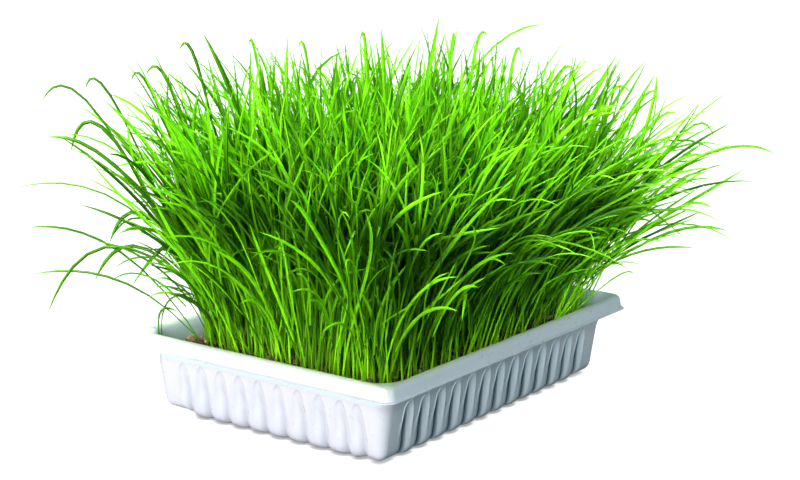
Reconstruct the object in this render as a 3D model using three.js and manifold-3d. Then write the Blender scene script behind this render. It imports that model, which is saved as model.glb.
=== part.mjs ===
// Wheatgrass growing in a fluted plastic tray. Millimetres, +Z up.
// X runs along the tray's long side and Y along its short side.
// The origin is the centre of the tray's flat underside.
import * as THREE from 'three';
import { mergeVertices } from 'three/addons/utils/BufferGeometryUtils.js';
import Module from 'manifold-3d';

// ---- Tray ----
const BASE_HALF_LENGTH = 102.5;
const BASE_HALF_WIDTH = 75;
const BASE_CORNER = 4.5;
const BASE_FILLET = 6;
const WALL_DRAFT = 0.15; // outward run of the wall for each millimetre of height
const WALL_THICKNESS = 1.2;
const WALL_TOP = 37; // height where the wall flares out into the rim
const OUTER_WALL_HEIGHTS = [6, 16.5, 27, 33];
const INNER_WALL_HEIGHTS = [37, 33, 19.8, BASE_FILLET]; // below these a chamfer runs to the floor
const LIP_HALF_LENGTH = 117.2;
const LIP_HALF_WIDTH = 89.7;
const CORNER_STEPS = 4;

// The rim's section, from the wall's outer face over the bead and down inside: how far each place
// is set in from the lip's edge, its height, and the radius at which it turns the tray's corners.
const RIM_SECTION = [
  { inset: 7.6, z: 41.2, corner: 7 }, // under the flare
  { inset: 5.6, z: 45, corner: 6 },
  { inset: 3.4, z: 43, corner: 4.6 }, // back of the skirt
  { inset: 2.8, z: 38.7, corner: 5.2 },
  { inset: 0, z: 38.7, corner: 8 }, // lip
  { inset: 0, z: 39.4, corner: 8 },
  { inset: 1.6, z: 39.9, corner: 6.4 }, // face of the skirt
  { inset: 2.2, z: 43.8, corner: 5.8 },
  { inset: 2.8, z: 45.6, corner: 5.2 }, // bead
  { inset: 4.2, z: 46.9, corner: 3.8 },
  { inset: 5.3, z: 47.1, corner: 14 }, // inner edge
  { inset: 6.9, z: 46, corner: 14 },
  { inset: 9, z: 41.2, corner: 12 }, // foot of the flare
];

// ---- Flutes pressed into the tray's wall ----
const FLUTE_PITCH = 14;
const LONG_SIDE_FLUTES = 13;
const SHORT_SIDE_FLUTES = 10;
const FLUTE_DEPTH = 4.4; // low on the wall
const FLUTE_FOOT_DEPTH = 5.4; // across the floor's edge, where the lobes round off
const FLUTE_TOP = 33; // height where a flute has run out to nothing
const FLUTE_TOP_SPREAD = 0.5; // width of a flute at its top, as a share of the pitch
const FLUTE_ROUNDNESS = 0.92; // 0 gives lobes with straight flanks and 1 gives half circles
const OUTER_ACROSS = [-1, -0.5, 0, 0.5]; // lobe, flank, the flute's line, flank
const INNER_ACROSS = [-1, 0]; // the wall's inner face has no point on the flanks

// ---- Soil ----
const SOIL_GAP = 0.5;
const SOIL_TOP = 37;
const SOIL_EDGE = 34; // height of the soil against the wall
const SOIL_LUMP = 1.3;
const SOIL_LUMP_WAVES = [5.3, 9.1, 6.7, 11]; // lengths of the waves that make up the lumps
const SOIL_LAYER = 4; // depth of the lumpy layer at the wall
const SOIL_DIP_POWER = 6; // a high power keeps the dip close to the wall
const SOIL_STEPS = [12, 9];
const CLODS = [
  { at: [-99, 66], size: 5.5 },
  { at: [-101, -8], size: 4.5 },
  { at: [40, -73], size: 4 },
  { at: [88, 71], size: 4.5 },
];
const CLOD_SQUASH = [1, 0.85, 0.7];
const CLOD_RISE = 0.35; // height of a clod's middle above the soil's edge, as a share of its size

// ---- Tufts: bunches of blades, each on a crown of roots in a hole in the soil ----
const TUFT_COLUMNS = 5;
const TUFT_ROWS = 4;
const TUFT_PITCH_X = 41;
const TUFT_PITCH_Y = 37;
const CROWN_RADIUS = 18.2;
const CROWN_SIDES = 8;
const CROWN_FLOOR = 20;
const CROWN_EDGE = 36.4; // height of a crown's rim
const CROWN_TOP = 38.4; // height of its low peak
const HOLE_GAP = 0.5;
const ROOT_DEPTH = 7; // how far a blade's root is sunk in its crown
const ROOT_SPREAD = 15.5;

// ---- Blades ----
const BLADES_PER_TUFT = 16;
const BLADE_TRIES = 60; // placings tried for each blade
const BLADE_LENGTH = [106, 152];
const EDGE_LENGTH_GAIN = 0.1; // blades at the tray's edge are this much longer
const BLADE_WIDTH = [2.3, 3.3];
const BLADE_KEEL = 1; // depth of the blade's three-sided section
const BLADE_STATIONS = [0, 0.3, 0.62, 0.85, 1];
const BLADE_TAPER = [0.8, 1, 0.9, 0.6];
const BLADE_CLEARANCE = 3.9; // least distance between the middles of two blades
const SAMPLE_STEP = 3;
const BLADE_SECTION = [[0.5, 0.35], [-0.5, 0.35], [0, -0.65]]; // shares of the width and the keel
const ROLL_SPREAD = 0.5;
const SEED = 20;

// How the blades lean, in radians: at the middle of the stand, and what is added at its edge.
const LEAN = { middle: 0.04, edge: 0.26, spread: 0.1 };
const CURL = { middle: 0.15, edge: 0.4, spread: 0.3, power: 1.6 };
const HEADING_SPREAD = { turn: 1.1, middle: 0.25 };
const EDGE_LIMIT = 1;
const FALLEN = { share: 0.25, lean: 0.42, curl: 0.4, length: 0.74 }; // the low blades at the edge

// Long blades that stand out past the rest. Each springs from its foot and stays in the upright
// plane through it along REACH_LINE. Its bow and its tip are given as reach and height.
const REACH_ANGLE = THREE.MathUtils.degToRad(-53.2);
const STRAYS = [
  { foot: [-88, 47], bow: [-58, 160], tip: [-92, 173] },
  { foot: [-92, 14], bow: [-62, 130], tip: [-110, 158] },
  { foot: [-84, 59], bow: [-46, 88], tip: [-98, 103] },
  { foot: [-84, 20], bow: [-70, 97], tip: [-116, 59] },
  { foot: [-86, 53], bow: [-46, 72], tip: [-99, 78] },
  { foot: [-48, 22], bow: [-26, 140], tip: [-52, 208] },
  { foot: [-35, 22], bow: [-14, 130], tip: [-15, 205] },
  { foot: [-8, -12], bow: [-4, 130], tip: [-8, 210] },
  { foot: [4, 12], bow: [20, 130], tip: [36, 214] },
  { foot: [10, 24], bow: [50, 165], tip: [103, 207] },
  { foot: [50, -22], bow: [46, 125], tip: [82, 190] },
  { foot: [74, -26], bow: [52, 115], tip: [89, 177] },
  { foot: [82, -10], bow: [74, 92], tip: [130, 135] },
  { foot: [85, -23], bow: [98, 118], tip: [159, 127] },
  { foot: [92, -14], bow: [72, 72], tip: [147, 118] },
  { foot: [90, -48], bow: [60, 78], tip: [107, 84] },
];

const wasm = await Module();
wasm.setup();

// A repeatable draw of numbers from 0 to 1.
function randomFrom(seed) {
  const [multiplier, increment, range] = [1664525, 1013904223, 2 ** 32];
  let state = seed;
  return () => {
    state = (state * multiplier + increment) % range;
    return state / range;
  };
}

const random = randomFrom(SEED);
const between = ([low, high]) => low + (high - low) * random();
const either = (spread) => between([-spread, spread]);

// ---- Closed surfaces made of loops ----

const SIDES = [
  { along: [1, 0], out: [0, -1], flutes: LONG_SIDE_FLUTES },
  { along: [0, 1], out: [1, 0], flutes: SHORT_SIDE_FLUTES },
  { along: [-1, 0], out: [0, 1], flutes: LONG_SIDE_FLUTES },
  { along: [0, -1], out: [-1, 0], flutes: SHORT_SIDE_FLUTES },
];
const SIDE_KEYS = 0.7; // the straight of a side takes this much of its span of keys
const CORNER_KEYS = [0.76, 0.94]; // and its corner's arc runs between these
const HUB_LEAD = 0.49; // a hub stands this much of a flute ahead of its lobe

const bulge = (rise) => 1 - Math.sqrt(1 - (FLUTE_ROUNDNESS * rise) ** 2);

// The share of a flute's full depth at a place across it, so that the lobes bulge as arcs do.
const fluteShare = (across) => bulge(1 - Math.abs(across)) / bulge(1);

// One level loop round the tray, counter-clockwise from above. Its points lie on the corner arcs
// and, where there is a flute depth, in a row of places across each flute. Each point has a key
// that grows by one from side to side, so that loops with different points can be joined.
function loop({ halfLength, halfWidth, corner, z, flute }) {
  const points = [];
  const keys = [];
  SIDES.forEach(({ along, out, flutes }, index) => {
    const [reach, level] = out[0] === 0 ? [halfLength, halfWidth] : [halfWidth, halfLength];
    const straight = reach - corner;
    const place = (distance, height, key) => {
      points.push([along[0] * distance + out[0] * height, along[1] * distance + out[1] * height, z]);
      keys.push(index + key);
    };
    const placeOnStraight = (distance, height, key) => {
      place(THREE.MathUtils.clamp(distance, -straight, straight), height, key);
    };
    if (flute) {
      for (let i = 0; i < flutes; i += 1) {
        for (const across of flute.across) {
          const spread = across === -1 ? 1 : flute.spread;
          const pitches = i + (1 + across * spread) / 2;
          const height = level - flute.depth * fluteShare(across);
          const key = (SIDE_KEYS * (i + (1 + across) / 2)) / flutes;
          placeOnStraight((pitches - flutes / 2) * FLUTE_PITCH, height, key);
        }
      }
      placeOnStraight((flutes / 2) * FLUTE_PITCH, level, SIDE_KEYS);
    }
    for (let i = 0; i <= CORNER_STEPS; i += 1) {
      const share = i / CORNER_STEPS;
      const turn = (share * Math.PI) / 2;
      const key = THREE.MathUtils.lerp(...CORNER_KEYS, share);
      place(straight + corner * Math.sin(turn), level - corner + corner * Math.cos(turn), key);
    }
  });
  return { points, keys };
}

// A level loop of one point inside each lobe. Its keys make each point the hub of its own lobe.
function hubLoop({ halfLength, halfWidth, z }) {
  const points = [];
  const keys = [];
  SIDES.forEach(({ along, out, flutes }, index) => {
    const level = out[0] === 0 ? halfWidth : halfLength;
    for (let i = 0; i <= flutes; i += 1) {
      const distance = (i - flutes / 2) * FLUTE_PITCH;
      points.push([along[0] * distance + out[0] * level, along[1] * distance + out[1] * level, z]);
      keys.push(index + (SIDE_KEYS * (i - HUB_LEAD)) / flutes);
    }
  });
  return { points, keys };
}

class Skin {
  constructor() {
    this.vertices = [];
    this.triangles = [];
  }

  add({ points, keys }) {
    const first = this.vertices.length;
    this.vertices.push(...points);
    return { first, points, keys, count: points.length };
  }

  // Joins two loops. Whichever has its next point sooner on the way round steps on first.
  band(from, to) {
    const keyOf = (ring, i) => (i < ring.count ? ring.keys[i] : ring.keys[i - ring.count] + SIDES.length);
    const vertexOf = (ring, i) => ring.first + (i % ring.count);
    let a = 0;
    let b = 0;
    while (a < from.count || b < to.count) {
      if (b === to.count || (a < from.count && keyOf(from, a + 1) <= keyOf(to, b + 1))) {
        this.triangles.push([vertexOf(from, a), vertexOf(from, a + 1), vertexOf(to, b)]);
        a += 1;
      } else {
        this.triangles.push([vertexOf(from, a), vertexOf(to, b + 1), vertexOf(to, b)]);
        b += 1;
      }
    }
  }

  // Closes a loop with a fan to a point. A fan that looks down is turned over.
  fan(ring, point, looksUp) {
    const centre = this.vertices.length;
    this.vertices.push(point);
    for (let i = 0; i < ring.count; i += 1) {
      const a = ring.first + i;
      const b = ring.first + ((i + 1) % ring.count);
      this.triangles.push(looksUp ? [a, b, centre] : [b, a, centre]);
    }
  }

  // Joins loops in turn, from a face that looks down to a face that looks up, which may be peaked.
  close(loops, peak = 0) {
    const rings = loops.map((shape) => this.add(shape));
    const [first, last] = [rings[0], rings.at(-1)];
    const [x, y, z] = centreOf(last.points);
    this.fan(first, centreOf(first.points), false);
    for (let i = 1; i < rings.length; i += 1) this.band(rings[i - 1], rings[i]);
    this.fan(last, [x, y, z + peak], true);
    return this;
  }

  geometry() {
    const geometry = new THREE.BufferGeometry();
    geometry.setAttribute('position', new THREE.Float32BufferAttribute(this.vertices.flat(), 3));
    geometry.setIndex(this.triangles.flat());
    return geometry;
  }

  solid() {
    return new wasm.Manifold(
      new wasm.Mesh({
        numProp: 3,
        vertProperties: new Float32Array(this.vertices.flat()),
        triVerts: new Uint32Array(this.triangles.flat()),
      }),
    );
  }
}

function centreOf(points) {
  const sum = points.reduce((total, point) => total.map((value, i) => value + point[i]), [0, 0, 0]);
  return sum.map((value) => value / points.length);
}

// ---- Solids ----

function geometryOf(solid) {
  const { vertProperties, triVerts } = solid.getMesh();
  const geometry = new THREE.BufferGeometry();
  geometry.setAttribute('position', new THREE.BufferAttribute(vertProperties, 3));
  geometry.setIndex(new THREE.BufferAttribute(triVerts, 1));
  return geometry;
}

// An upright prism with its flats facing along X and Y, and a low peak if it is given one.
function prism(radius, bottom, top, [x, y], peak = 0) {
  const outline = [];
  for (let i = 0; i < CROWN_SIDES; i += 1) {
    const turn = ((i + 0.5) / CROWN_SIDES) * 2 * Math.PI;
    outline.push([x + radius * Math.cos(turn), y + radius * Math.sin(turn)]);
  }
  const keys = outline.map((_, i) => (i * SIDES.length) / CROWN_SIDES);
  const levels = [bottom, top].map((z) => ({ points: outline.map((point) => [...point, z]), keys }));
  return new Skin().close(levels, peak).solid();
}

// ---- Tray ----

const fluteDepthAt = (z) => FLUTE_DEPTH * (1 - (z / FLUTE_TOP) ** 2);
const fluteSpreadAt = (z) => 1 - (1 - FLUTE_TOP_SPREAD) * (z / FLUTE_TOP) ** 2;

// A loop of the tray's wall at a height, set in from the wall's outer face by a distance.
function wallLoop(z, inset, { depth = fluteDepthAt(z), across = OUTER_ACROSS } = {}) {
  const out = WALL_DRAFT * z - inset;
  return loop({
    halfLength: BASE_HALF_LENGTH + out,
    halfWidth: BASE_HALF_WIDTH + out,
    corner: Math.max(BASE_CORNER + out, WALL_THICKNESS),
    z,
    flute: z <= FLUTE_TOP ? { depth, across, spread: fluteSpreadAt(z) } : null,
  });
}

function floorLoop(z, inset) {
  return hubLoop({ halfLength: BASE_HALF_LENGTH - inset, halfWidth: BASE_HALF_WIDTH - inset, z });
}

function rimLoop({ inset, z, corner }) {
  return loop({ halfLength: LIP_HALF_LENGTH - inset, halfWidth: LIP_HALF_WIDTH - inset, corner, z });
}

function trayGeometry() {
  const arcIn = BASE_FILLET * (1 - Math.SQRT1_2); // from the base's sharp corner to the fillet's middle
  const floorInset = BASE_FILLET + FLUTE_FOOT_DEPTH + FLUTE_DEPTH;
  return new Skin()
    .close([
      floorLoop(0, floorInset),
      wallLoop(0, BASE_FILLET, { depth: FLUTE_FOOT_DEPTH }),
      wallLoop(arcIn, arcIn, { depth: (FLUTE_FOOT_DEPTH + FLUTE_DEPTH) / 2 }),
      ...OUTER_WALL_HEIGHTS.map((z) => wallLoop(z, 0)),
      wallLoop(WALL_TOP, 0),
      ...RIM_SECTION.map(rimLoop),
      ...INNER_WALL_HEIGHTS.map((z) => wallLoop(z, WALL_THICKNESS, { across: INNER_ACROSS })),
      wallLoop(WALL_THICKNESS, BASE_FILLET, { depth: FLUTE_FOOT_DEPTH, across: INNER_ACROSS }),
      floorLoop(WALL_THICKNESS, floorInset),
    ])
    .geometry();
}

// ---- Soil ----

// A loop of the soil's side, clear of the tray's wall and of the flutes that stand in from it.
function soilLoop(z, inset = WALL_THICKNESS, depth = Math.max(0, fluteDepthAt(z))) {
  const clear = WALL_DRAFT * z - inset - SOIL_GAP;
  const [halfLength, halfWidth] = [BASE_HALF_LENGTH + clear - depth, BASE_HALF_WIDTH + clear - depth];
  return loop({ halfLength, halfWidth, corner: Math.max(BASE_CORNER + clear, WALL_THICKNESS), z });
}

function lumpAt(x, y) {
  const [a, b, c, d] = SOIL_LUMP_WAVES;
  return SOIL_LUMP * Math.sin(x / a + y / b) * Math.cos(y / c - x / d);
}

// The lumpy top layer: a slab whose upper face rises and falls, and dips towards the wall.
function topLayer() {
  const [across, along] = SOIL_STEPS;
  const out = WALL_DRAFT * SOIL_EDGE - WALL_THICKNESS - SOIL_GAP - SOIL_LAYER;
  const [halfLength, halfWidth] = [BASE_HALF_LENGTH + out, BASE_HALF_WIDTH + out];
  const slab = new Skin();
  const vertexAt = new Map();
  const vertex = (i, j, top) => {
    const name = [i, j, top].join();
    if (!vertexAt.has(name)) {
      const [u, v] = [(2 * i) / across - 1, (2 * j) / along - 1];
      const [x, y] = [halfLength * u, halfWidth * v];
      const dip = (SOIL_TOP - SOIL_EDGE) * Math.max(Math.abs(u), Math.abs(v)) ** SOIL_DIP_POWER;
      const z = top ? SOIL_TOP - dip + lumpAt(x, y) : SOIL_EDGE - SOIL_LAYER;
      vertexAt.set(name, slab.vertices.push([x, y, z]) - 1);
    }
    return vertexAt.get(name);
  };
  const quad = (a, b, c, d) => slab.triangles.push([a, b, c], [a, c, d]);
  for (let i = 0; i < across; i += 1) {
    for (let j = 0; j < along; j += 1) {
      const corners = [[i, j], [i + 1, j], [i + 1, j + 1], [i, j + 1]];
      quad(...corners.map(([a, b]) => vertex(a, b, true)));
      quad(...corners.toReversed().map(([a, b]) => vertex(a, b, false)));
    }
  }
  const edge = [
    ...Array.from({ length: across }, (_, i) => [i, 0]),
    ...Array.from({ length: along }, (_, j) => [across, j]),
    ...Array.from({ length: across }, (_, i) => [across - i, along]),
    ...Array.from({ length: along }, (_, j) => [0, along - j]),
  ];
  edge.forEach(([i, j], index) => {
    const [nextI, nextJ] = edge[(index + 1) % edge.length];
    quad(vertex(i, j, false), vertex(nextI, nextJ, false), vertex(nextI, nextJ, true), vertex(i, j, true));
  });
  return slab.solid();
}

function clod({ at: [x, y], size }) {
  const ball = new THREE.IcosahedronGeometry(size, 0);
  ball.scale(...CLOD_SQUASH);
  ball.rotateZ(x); // so that no two clods lie alike
  ball.translate(x, y, SOIL_EDGE + size * CLOD_RISE);
  ball.deleteAttribute('normal');
  ball.deleteAttribute('uv');
  const merged = mergeVertices(ball, 1e-3);
  return new wasm.Manifold(
    new wasm.Mesh({
      numProp: 3,
      vertProperties: merged.attributes.position.array,
      triVerts: new Uint32Array(merged.index.array),
    }),
  );
}

const tuftCentres = [];
for (let column = 0; column < TUFT_COLUMNS; column += 1) {
  for (let row = 0; row < TUFT_ROWS; row += 1) {
    tuftCentres.push([
      (column - (TUFT_COLUMNS - 1) / 2) * TUFT_PITCH_X,
      (row - (TUFT_ROWS - 1) / 2) * TUFT_PITCH_Y,
    ]);
  }
}

function soilGeometry() {
  const heights = INNER_WALL_HEIGHTS.slice(1).map((z) => z + SOIL_GAP).reverse();
  const foot = soilLoop(WALL_THICKNESS + SOIL_GAP, BASE_FILLET, FLUTE_FOOT_DEPTH);
  const block = new Skin().close([foot, ...heights.map((z) => soilLoop(z))]).solid();
  const ground = wasm.Manifold.union([block, topLayer(), ...CLODS.map(clod)]);
  const above = SOIL_TOP * 2;
  const holes = tuftCentres.map((centre) => {
    return prism(CROWN_RADIUS + HOLE_GAP, CROWN_FLOOR - HOLE_GAP, above, centre);
  });
  return geometryOf(ground.subtract(wasm.Manifold.union(holes)));
}

// ---- Blades ----

// Where blades already stand, as points in a grid of boxes one clearance wide.
class Thicket {
  constructor() {
    this.boxes = new Map();
  }

  static box(point) {
    return point.toArray().map((value) => Math.floor(value / BLADE_CLEARANCE));
  }

  // The points in the box round a place and in the boxes that touch it.
  near(place) {
    const [i, j, k] = Thicket.box(place);
    const steps = [-1, 0, 1];
    return steps.flatMap((a) => {
      return steps.flatMap((b) => {
        return steps.flatMap((c) => this.boxes.get([i + a, j + b, k + c].join()) ?? []);
      });
    });
  }

  // Whether every point keeps its clearance to every blade that stands already.
  hasRoomFor(points) {
    return points.every((point) => {
      return this.near(point).every((other) => other.distanceTo(point) >= BLADE_CLEARANCE);
    });
  }

  add(points) {
    for (const point of points) {
      const name = Thicket.box(point).join();
      this.boxes.set(name, [...(this.boxes.get(name) ?? []), point]);
    }
  }
}

// A blade's path from its sunk root: it leaves at a lean from upright and curls further over.
function curledPath([x, y], { azimuth, lean, curl, length }) {
  const out = new THREE.Vector3(Math.cos(azimuth), Math.sin(azimuth), 0);
  const up = new THREE.Vector3(0, 0, 1);
  const path = [new THREE.Vector3(x, y, CROWN_EDGE - ROOT_DEPTH)];
  for (let i = 1; i < BLADE_STATIONS.length; i += 1) {
    const step = BLADE_STATIONS[i] - BLADE_STATIONS[i - 1];
    const middle = BLADE_STATIONS[i] - step / 2;
    const angle = lean + curl * middle ** CURL.power;
    const move = up.clone().multiplyScalar(Math.cos(angle)).addScaledVector(out, Math.sin(angle));
    path.push(path.at(-1).clone().addScaledVector(move, step * (length + ROOT_DEPTH)));
  }
  return path;
}

// A stray's path: a curve from its sunk foot through its bow to its tip.
function strayPath({ foot: [x, y], bow, tip }) {
  const out = new THREE.Vector3(Math.cos(REACH_ANGLE), Math.sin(REACH_ANGLE), 0);
  const place = ([reach, height]) => new THREE.Vector3(x, y, height).addScaledVector(out, reach);
  const foot = place([0, CROWN_EDGE - ROOT_DEPTH]);
  const [middle, end] = [place(bow), place(tip)];
  const bend = middle.clone().multiplyScalar(2).sub(foot.clone().lerp(end, 1 / 2));
  const curve = new THREE.QuadraticBezierCurve3(foot, bend, end);
  return BLADE_STATIONS.map((share) => curve.getPointAt(share));
}

function samplesOf(path) {
  const samples = [];
  for (let i = 1; i < path.length; i += 1) {
    const count = Math.ceil(path[i].distanceTo(path[i - 1]) / SAMPLE_STEP);
    for (let j = 0; j < count; j += 1) samples.push(path[i - 1].clone().lerp(path[i], j / count));
  }
  return [...samples, path.at(-1)];
}

// A blade: three-sided rings along its path, taken across the way it leans, and a pointed tip.
function bladeSolid({ path, width, roll }) {
  const skin = new Skin();
  const lean = path.at(-1).clone().sub(path[0]).setZ(0).normalize();
  const flat = new THREE.Vector3(-lean.y, lean.x, 0).normalize();
  const rings = BLADE_TAPER.map((taper, i) => {
    const before = path[Math.max(i - 1, 0)];
    const tangent = path[i + 1].clone().sub(before).normalize();
    const side = flat.clone().projectOnPlane(tangent).normalize().applyAxisAngle(tangent, roll);
    const back = tangent.clone().cross(side);
    const points = BLADE_SECTION.map(([across, deep]) => {
      const corner = path[i].clone().addScaledVector(side, across * width * taper);
      return corner.addScaledVector(back, deep * BLADE_KEEL * Math.sqrt(taper)).toArray();
    });
    return skin.add({ points, keys: points.map((_, corner) => corner) });
  });
  skin.fan(rings[0], path[0].toArray(), false);
  for (let i = 1; i < rings.length; i += 1) skin.band(rings[i - 1], rings[i]);
  skin.fan(rings.at(-1), path.at(-1).toArray(), true);
  return skin.solid();
}

// How a blade that springs from a place in the tray leans. Those near the edge lean out furthest,
// and some of them have fallen lower still.
function drawBlade([x, y]) {
  const out = new THREE.Vector2(x / BASE_HALF_LENGTH, y / BASE_HALF_WIDTH);
  const edge = Math.min(out.length(), EDGE_LIMIT);
  const fallen = random() < FALLEN.share * edge ** 2 ? random() : 0;
  return {
    azimuth: out.angle() + either(HEADING_SPREAD.turn) / (HEADING_SPREAD.middle + edge),
    lean: LEAN.middle + LEAN.edge * edge ** 2 + FALLEN.lean * fallen + either(LEAN.spread),
    curl: CURL.middle + CURL.edge * edge + FALLEN.curl * fallen + either(CURL.spread),
    length: between(BLADE_LENGTH) * (1 + EDGE_LENGTH_GAIN * edge) * (fallen ? FALLEN.length : 1),
  };
}

const distanceBetween = ([ax, ay], [bx, by]) => Math.hypot(ax - bx, ay - by);

// Whether a blade's samples stay inside its crown until they are out of the soil.
function clearsHole(samples, centre) {
  return samples.every(({ x, y, z }) => {
    return z > SOIL_TOP + SOIL_LUMP + BLADE_KEEL || distanceBetween([x, y], centre) < ROOT_SPREAD;
  });
}

// Grows every tuft's blades: the strays first, each on the nearest crown, and then the rest.
function growBlades() {
  const thicket = new Thicket();
  const tufts = tuftCentres.map((centre) => ({ centre, blades: [] }));
  const plant = (tuft, path, width) => {
    thicket.add(samplesOf(path));
    tuft.blades.push({ path, width, roll: either(ROLL_SPREAD) });
  };
  for (const stray of STRAYS) {
    const far = (tuft) => distanceBetween(tuft.centre, stray.foot);
    const nearest = tufts.reduce((best, tuft) => (far(tuft) < far(best) ? tuft : best));
    plant(nearest, strayPath(stray), between(BLADE_WIDTH));
  }
  for (const tuft of tufts) {
    const tries = BLADES_PER_TUFT * BLADE_TRIES;
    for (let i = 0; i < tries && tuft.blades.length < BLADES_PER_TUFT; i += 1) {
      const turn = random() * 2 * Math.PI;
      const reach = ROOT_SPREAD * Math.sqrt(random());
      const root = [tuft.centre[0] + reach * Math.cos(turn), tuft.centre[1] + reach * Math.sin(turn)];
      const path = curledPath(root, drawBlade(root));
      const samples = samplesOf(path);
      const fits = clearsHole(samples, tuft.centre) && thicket.hasRoomFor(samples);
      if (fits) plant(tuft, path, between(BLADE_WIDTH));
    }
  }
  return tufts;
}

function tuftGeometry({ centre, blades }) {
  const crown = prism(CROWN_RADIUS, CROWN_FLOOR, CROWN_EDGE, centre, CROWN_TOP - CROWN_EDGE);
  return geometryOf(wasm.Manifold.union([crown, ...blades.map(bladeSolid)]));
}

// ---- The whole object ----

const COLORS = { tray: 0xe3e9ee, soil: 0x2a1c10, grass: 0x4fae12 };
const ROUGHNESS = { tray: 0.35, soil: 0.95, grass: 0.5 };
const model = new THREE.Group();

function addPart(name, kind, geometry) {
  const [color, roughness] = [COLORS[kind], ROUGHNESS[kind]];
  const mesh = new THREE.Mesh(geometry, new THREE.MeshStandardMaterial({ color, roughness }));
  mesh.name = name;
  model.add(mesh);
}

addPart('tray', 'tray', trayGeometry());
addPart('soil', 'soil', soilGeometry());
growBlades().forEach((tuft, index) => {
  addPart(`grass_tuft_${String(index + 1).padStart(2, '0')}`, 'grass', tuftGeometry(tuft));
});

export default model;
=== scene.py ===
"""A tray of wheatgrass: a fluted plastic tray filled with soil, and the grass that grows in it.

The script is laid out as a Blender add-on with one operator for each part of the object and one for
the stage. Run as a script, it registers itself and calls the operators in order.
"""

import math

import bpy
import numpy as np
from bpy.props import FloatProperty, FloatVectorProperty, IntProperty, PointerProperty
from bpy.types import Operator, Panel, PropertyGroup
from mathutils import Matrix, Vector


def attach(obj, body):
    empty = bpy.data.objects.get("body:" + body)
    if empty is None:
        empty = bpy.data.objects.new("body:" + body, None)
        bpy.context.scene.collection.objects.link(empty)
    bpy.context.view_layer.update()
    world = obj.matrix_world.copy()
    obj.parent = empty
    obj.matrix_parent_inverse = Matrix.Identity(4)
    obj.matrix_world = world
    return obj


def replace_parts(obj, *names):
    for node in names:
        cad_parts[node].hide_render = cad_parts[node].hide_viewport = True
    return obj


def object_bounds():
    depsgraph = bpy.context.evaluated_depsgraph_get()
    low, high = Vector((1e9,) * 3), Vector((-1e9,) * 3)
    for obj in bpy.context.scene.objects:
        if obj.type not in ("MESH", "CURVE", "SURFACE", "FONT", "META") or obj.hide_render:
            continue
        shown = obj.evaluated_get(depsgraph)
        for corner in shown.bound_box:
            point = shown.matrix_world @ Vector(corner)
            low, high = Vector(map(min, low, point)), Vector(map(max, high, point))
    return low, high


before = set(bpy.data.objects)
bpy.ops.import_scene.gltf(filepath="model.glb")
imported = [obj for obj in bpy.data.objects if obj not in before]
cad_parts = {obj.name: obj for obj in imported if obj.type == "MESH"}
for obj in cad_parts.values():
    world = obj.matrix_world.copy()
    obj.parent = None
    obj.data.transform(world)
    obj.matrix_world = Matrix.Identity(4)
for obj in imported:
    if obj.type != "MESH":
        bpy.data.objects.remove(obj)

bl_info = {
    "name": "Wheatgrass Tray",
    "version": (1, 0, 0),
    "blender": (4, 5, 0),
    "location": "View3D > Sidebar > Wheatgrass",
    "description": "Builds a fluted tray of soil with wheatgrass growing in it",
    "category": "Add Mesh",
}

CAD_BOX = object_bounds()
MM = 0.001  # every length below is in metres

# ---- Tray ----

BASE_HALF = np.array([102.5, 75]) * MM
BASE_CORNER = 4.5 * MM
BASE_FILLET = 6 * MM
WALL_DRAFT = 0.15  # outward run of the wall for each unit of height
WALL_THICKNESS = 1.2 * MM
WALL_TOP = 37 * MM
LIP_HALF = np.array([117.2, 89.7]) * MM
CORNER_STEPS = 12
TUB_SHIFT = {"y": 1.6 * MM, "fade": 8 * MM}  # how far the tub stands off the rim's middle
CORNER_LIFT = {"far": 2.8 * MM, "near": 1.1 * MM, "fade": 14 * MM}  # rise of the base's corners

# The rim's section from the wall's top, up under the bead, round the lip and back over the bead to
# the wall's inner face: inset from the lip's edge, height and corner radius, in millimetres.
RIM_SECTION = (
    *((7.6, 41.2, 7), (5.6, 45, 6), (3.4, 43, 4.6), (2.8, 38.7, 5.2), (0, 38.7, 8), (0, 39.4, 8)),
    *((1.6, 39.9, 6.4), (2.2, 43.8, 5.8), (2.8, 45.6, 5.2), (4.2, 46.9, 3.8), (5.3, 47.1, 14)),
    *((6.9, 46, 14), (9, 41.2, 12)),
)
PLAIN_HEIGHTS = np.array([34.2, 36]) * MM  # of the wall's rows between the flutes and the rim
INNER_HEIGHTS = np.array([35, 32.4, 31.4, 29.5, 26, 18, 9]) * MM  # of the inner wall's rows

FLUTE_PITCH = 14 * MM
LONG_LINES = (np.arange(13) - 6) * FLUTE_PITCH - 0.6 * MM  # places of a long side's flutes
SHORT_LINES = np.array([-56.8, -43.4, -30, -16.6, -3.2, 10.3, 24, 37.9, 51.8, 62.8]) * MM
SIDE_FLUTES = (LONG_LINES, SHORT_LINES) * 2
FLUTE_STEPS = 14  # columns across a flute
FLUTE_ROWS = 13  # rows up a flute to its arch
FLUTE_FOOT_DEPTH = 5.4 * MM
FLUTE_DEPTH = 4.4 * MM
FLUTE_TOP_DEPTH = 1.9 * MM
FLUTE_ARCH = 26.5 * MM  # height where the arch at a flute's top begins
FLUTE_TOP = 32.4 * MM
FLUTE_WIDTHS = (0.86, 0.42)  # at the foot and at the top, as shares of the pitch
FLUTE_ROUNDNESS = 0.92
SHORT_FADE = (14 * MM, 28 * MM)  # heights between which a short side's flutes lose half their depth
CHANNEL_RISE = (0.2, 0.8)  # share of the height over which cusps turn into channels
BEAD_WIDTH = 0.06  # of the raised edge along a flute, as a share of the pitch
BEAD_HEIGHT = 0.4 * MM
BEAD_STEPS = np.array([1.25, 1.5, 1.75, 2])  # places across the bead, which spans 1 to 2

# ---- Soil ----

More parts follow.
